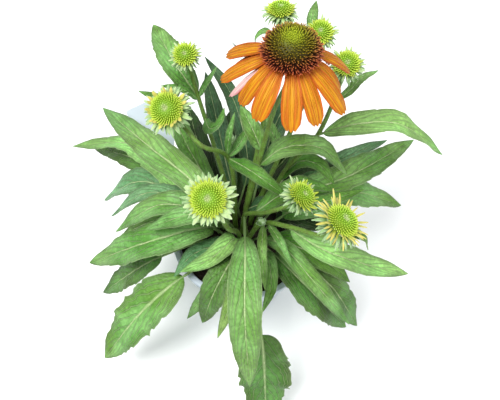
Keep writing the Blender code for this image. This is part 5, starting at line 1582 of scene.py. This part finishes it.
def build_stage(stage):
    deselect_all()
    bpy.ops.mesh.primitive_plane_add(size=FLOOR_SIZE)
    floor = bpy.context.object
    floor.name = "floor"
    material = bpy.data.materials.new("floor_matte")
    material.use_nodes = True
    tree = material.node_tree
    shader = tree.nodes["Principled BSDF"]
    shader.inputs["Roughness"].default_value = FLOOR_ROUGHNESS
    soft = blend_colours(tree, spread_noise(tree, grain(tree, 3.0), 0.0, 1.0),
                         (*stage.floor_colour, 1.0), (*shaded(stage.floor_colour, 0.985), 1.0))
    tree.links.new(soft, shader.inputs["Base Color"])
    give(floor, material)
    world = bpy.data.worlds.new("even_sky")
    world.use_nodes = True
    backdrop = world.node_tree.nodes["Background"]
    backdrop.inputs["Color"].default_value = SKY_COLOUR
    backdrop.inputs["Strength"].default_value = stage.sky
    bpy.context.scene.world = world
    for name, place, size, power in (
            ("key_light", (-0.42, -0.2, 1.3), 0.6, stage.key_power),
            ("fill_light", (0.9, -0.5, 0.9), 0.9, stage.fill_power)):
        bpy.ops.object.light_add(type="AREA", location=place)
        light = bpy.context.object
        light.name = name
        light.data.shape = "DISK"
        light.data.size = size
        light.data.energy = power
        light.rotation_euler = (LIGHT_AIM - Vector(place)).to_track_quat("-Z", "Y").to_euler()
    bpy.ops.object.camera_add(location=CAMERA_PLACE, rotation=(CAMERA_TILT, 0, 0))
    camera = bpy.context.object
    camera.data.lens = CAMERA_LENS
    camera.data.sensor_width = CAMERA_SENSOR
    bpy.context.scene.camera = camera
    bpy.context.scene.view_settings.view_transform = "Standard"


class CONEFLOWER_OT_finishes(bpy.types.Operator):
    """Make every material of the plant, the pot and the soil"""
    bl_idname = "coneflower.finishes"
    bl_label = "Finishes"

    def execute(self, context):
        scene = context.scene
        make_finishes(scene.coneflower_foliage, scene.coneflower_flowers, scene.coneflower_pot)
        return {"FINISHED"}


class CONEFLOWER_OT_pot(bpy.types.Operator):
    """Replace the pot by a smooth one with a rounded lip and the same drain holes"""
    bl_idname = "coneflower.pot"
    bl_label = "Pot"

    def execute(self, context):
        build_pot(context.scene.coneflower_pot)
        return {"FINISHED"}


class CONEFLOWER_OT_soil(bpy.types.Operator):
    """Replace the soil by lumpy peat with loose crumbs"""
    bl_idname = "coneflower.soil"
    bl_label = "Soil"

    def execute(self, context):
        build_soil(context.scene.coneflower_pot)
        return {"FINISHED"}


class CONEFLOWER_OT_tag(bpy.types.Operator):
    """Give the blank plant tag its plastic finish"""
    bl_idname = "coneflower.tag"
    bl_label = "Plant tag"

    def execute(self, context):
        build_tag()
        return {"FINISHED"}


class CONEFLOWER_OT_basal_leaves(bpy.types.Operator):
    """Replace the leaves that rise from the soil by veined, toothed blades on round stalks"""
    bl_idname = "coneflower.basal_leaves"
    bl_label = "Basal leaves"

    def execute(self, context):
        build_basal_leaves(context.scene.coneflower_foliage)
        return {"FINISHED"}


class CONEFLOWER_OT_stems(bpy.types.Operator):
    """Replace the leafy stems by round stalks, veined leaves, side buds and curling bracts"""
    bl_idname = "coneflower.stems"
    bl_label = "Stems"

    def execute(self, context):
        build_stems(context.scene.coneflower_foliage)
        return {"FINISHED"}


class CONEFLOWER_OT_bud_heads(bpy.types.Operator):
    """Replace the buds by spiralling florets and whorls of young rays"""
    bl_idname = "coneflower.bud_heads"
    bl_label = "Bud heads"

    def execute(self, context):
        build_bud_heads(context.scene.coneflower_flowers)
        return {"FINISHED"}


class CONEFLOWER_OT_bloom(bpy.types.Operator):
    """Replace the open bloom by ridged petals and a cone of spiralling spines"""
    bl_idname = "coneflower.bloom"
    bl_label = "Bloom"

    def execute(self, context):
        build_bloom(context.scene.coneflower_flowers)
        return {"FINISHED"}


class CONEFLOWER_OT_stage(bpy.types.Operator):
    """Add the pale floor, the even light and the camera at the photograph's angle"""
    bl_idname = "coneflower.stage"
    bl_label = "Stage"

    def execute(self, context):
        build_stage(context.scene.coneflower_stage)
        return {"FINISHED"}


STEPS = (
    CONEFLOWER_OT_finishes, CONEFLOWER_OT_pot, CONEFLOWER_OT_soil, CONEFLOWER_OT_tag,
    CONEFLOWER_OT_basal_leaves, CONEFLOWER_OT_stems, CONEFLOWER_OT_bud_heads, CONEFLOWER_OT_bloom,
    CONEFLOWER_OT_stage,
)
SETTINGS = {
    "coneflower_foliage": FoliageSettings,
    "coneflower_flowers": FlowerSettings,
    "coneflower_pot": PotSettings,
    "coneflower_stage": StageSettings,
}


class CONEFLOWER_PT_panel(bpy.types.Panel):
    """The steps in order, and the sizes and colours they read"""
    bl_idname = "CONEFLOWER_PT_panel"
    bl_label = "Potted coneflower"
    bl_space_type = "VIEW_3D"
    bl_region_type = "UI"
    bl_category = "Coneflower"

    def draw(self, context):
        for step in STEPS:
            self.layout.operator(step.bl_idname)
        for name, group in SETTINGS.items():
            box = self.layout.box()
            for field in group.__annotations__:
                box.prop(getattr(context.scene, name), field)


def register():
    for group in SETTINGS.values():
        bpy.utils.register_class(group)
    for name, group in SETTINGS.items():
        setattr(bpy.types.Scene, name, PointerProperty(type=group))
    for step in STEPS:
        bpy.utils.register_class(step)
    bpy.utils.register_class(CONEFLOWER_PT_panel)


def unregister():
    bpy.utils.unregister_class(CONEFLOWER_PT_panel)
    for step in reversed(STEPS):
        bpy.utils.unregister_class(step)
    for name, group in SETTINGS.items():
        delattr(bpy.types.Scene, name)
        bpy.utils.unregister_class(group)


def main():
    register()
    bpy.ops.coneflower.finishes()
    bpy.ops.coneflower.pot()
    bpy.ops.coneflower.soil()
    bpy.ops.coneflower.tag()
    bpy.ops.coneflower.basal_leaves()
    bpy.ops.coneflower.stems()
    bpy.ops.coneflower.bud_heads()
    bpy.ops.coneflower.bloom()
    bpy.ops.coneflower.stage()
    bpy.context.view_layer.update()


if __name__ == "__main__":
    main()
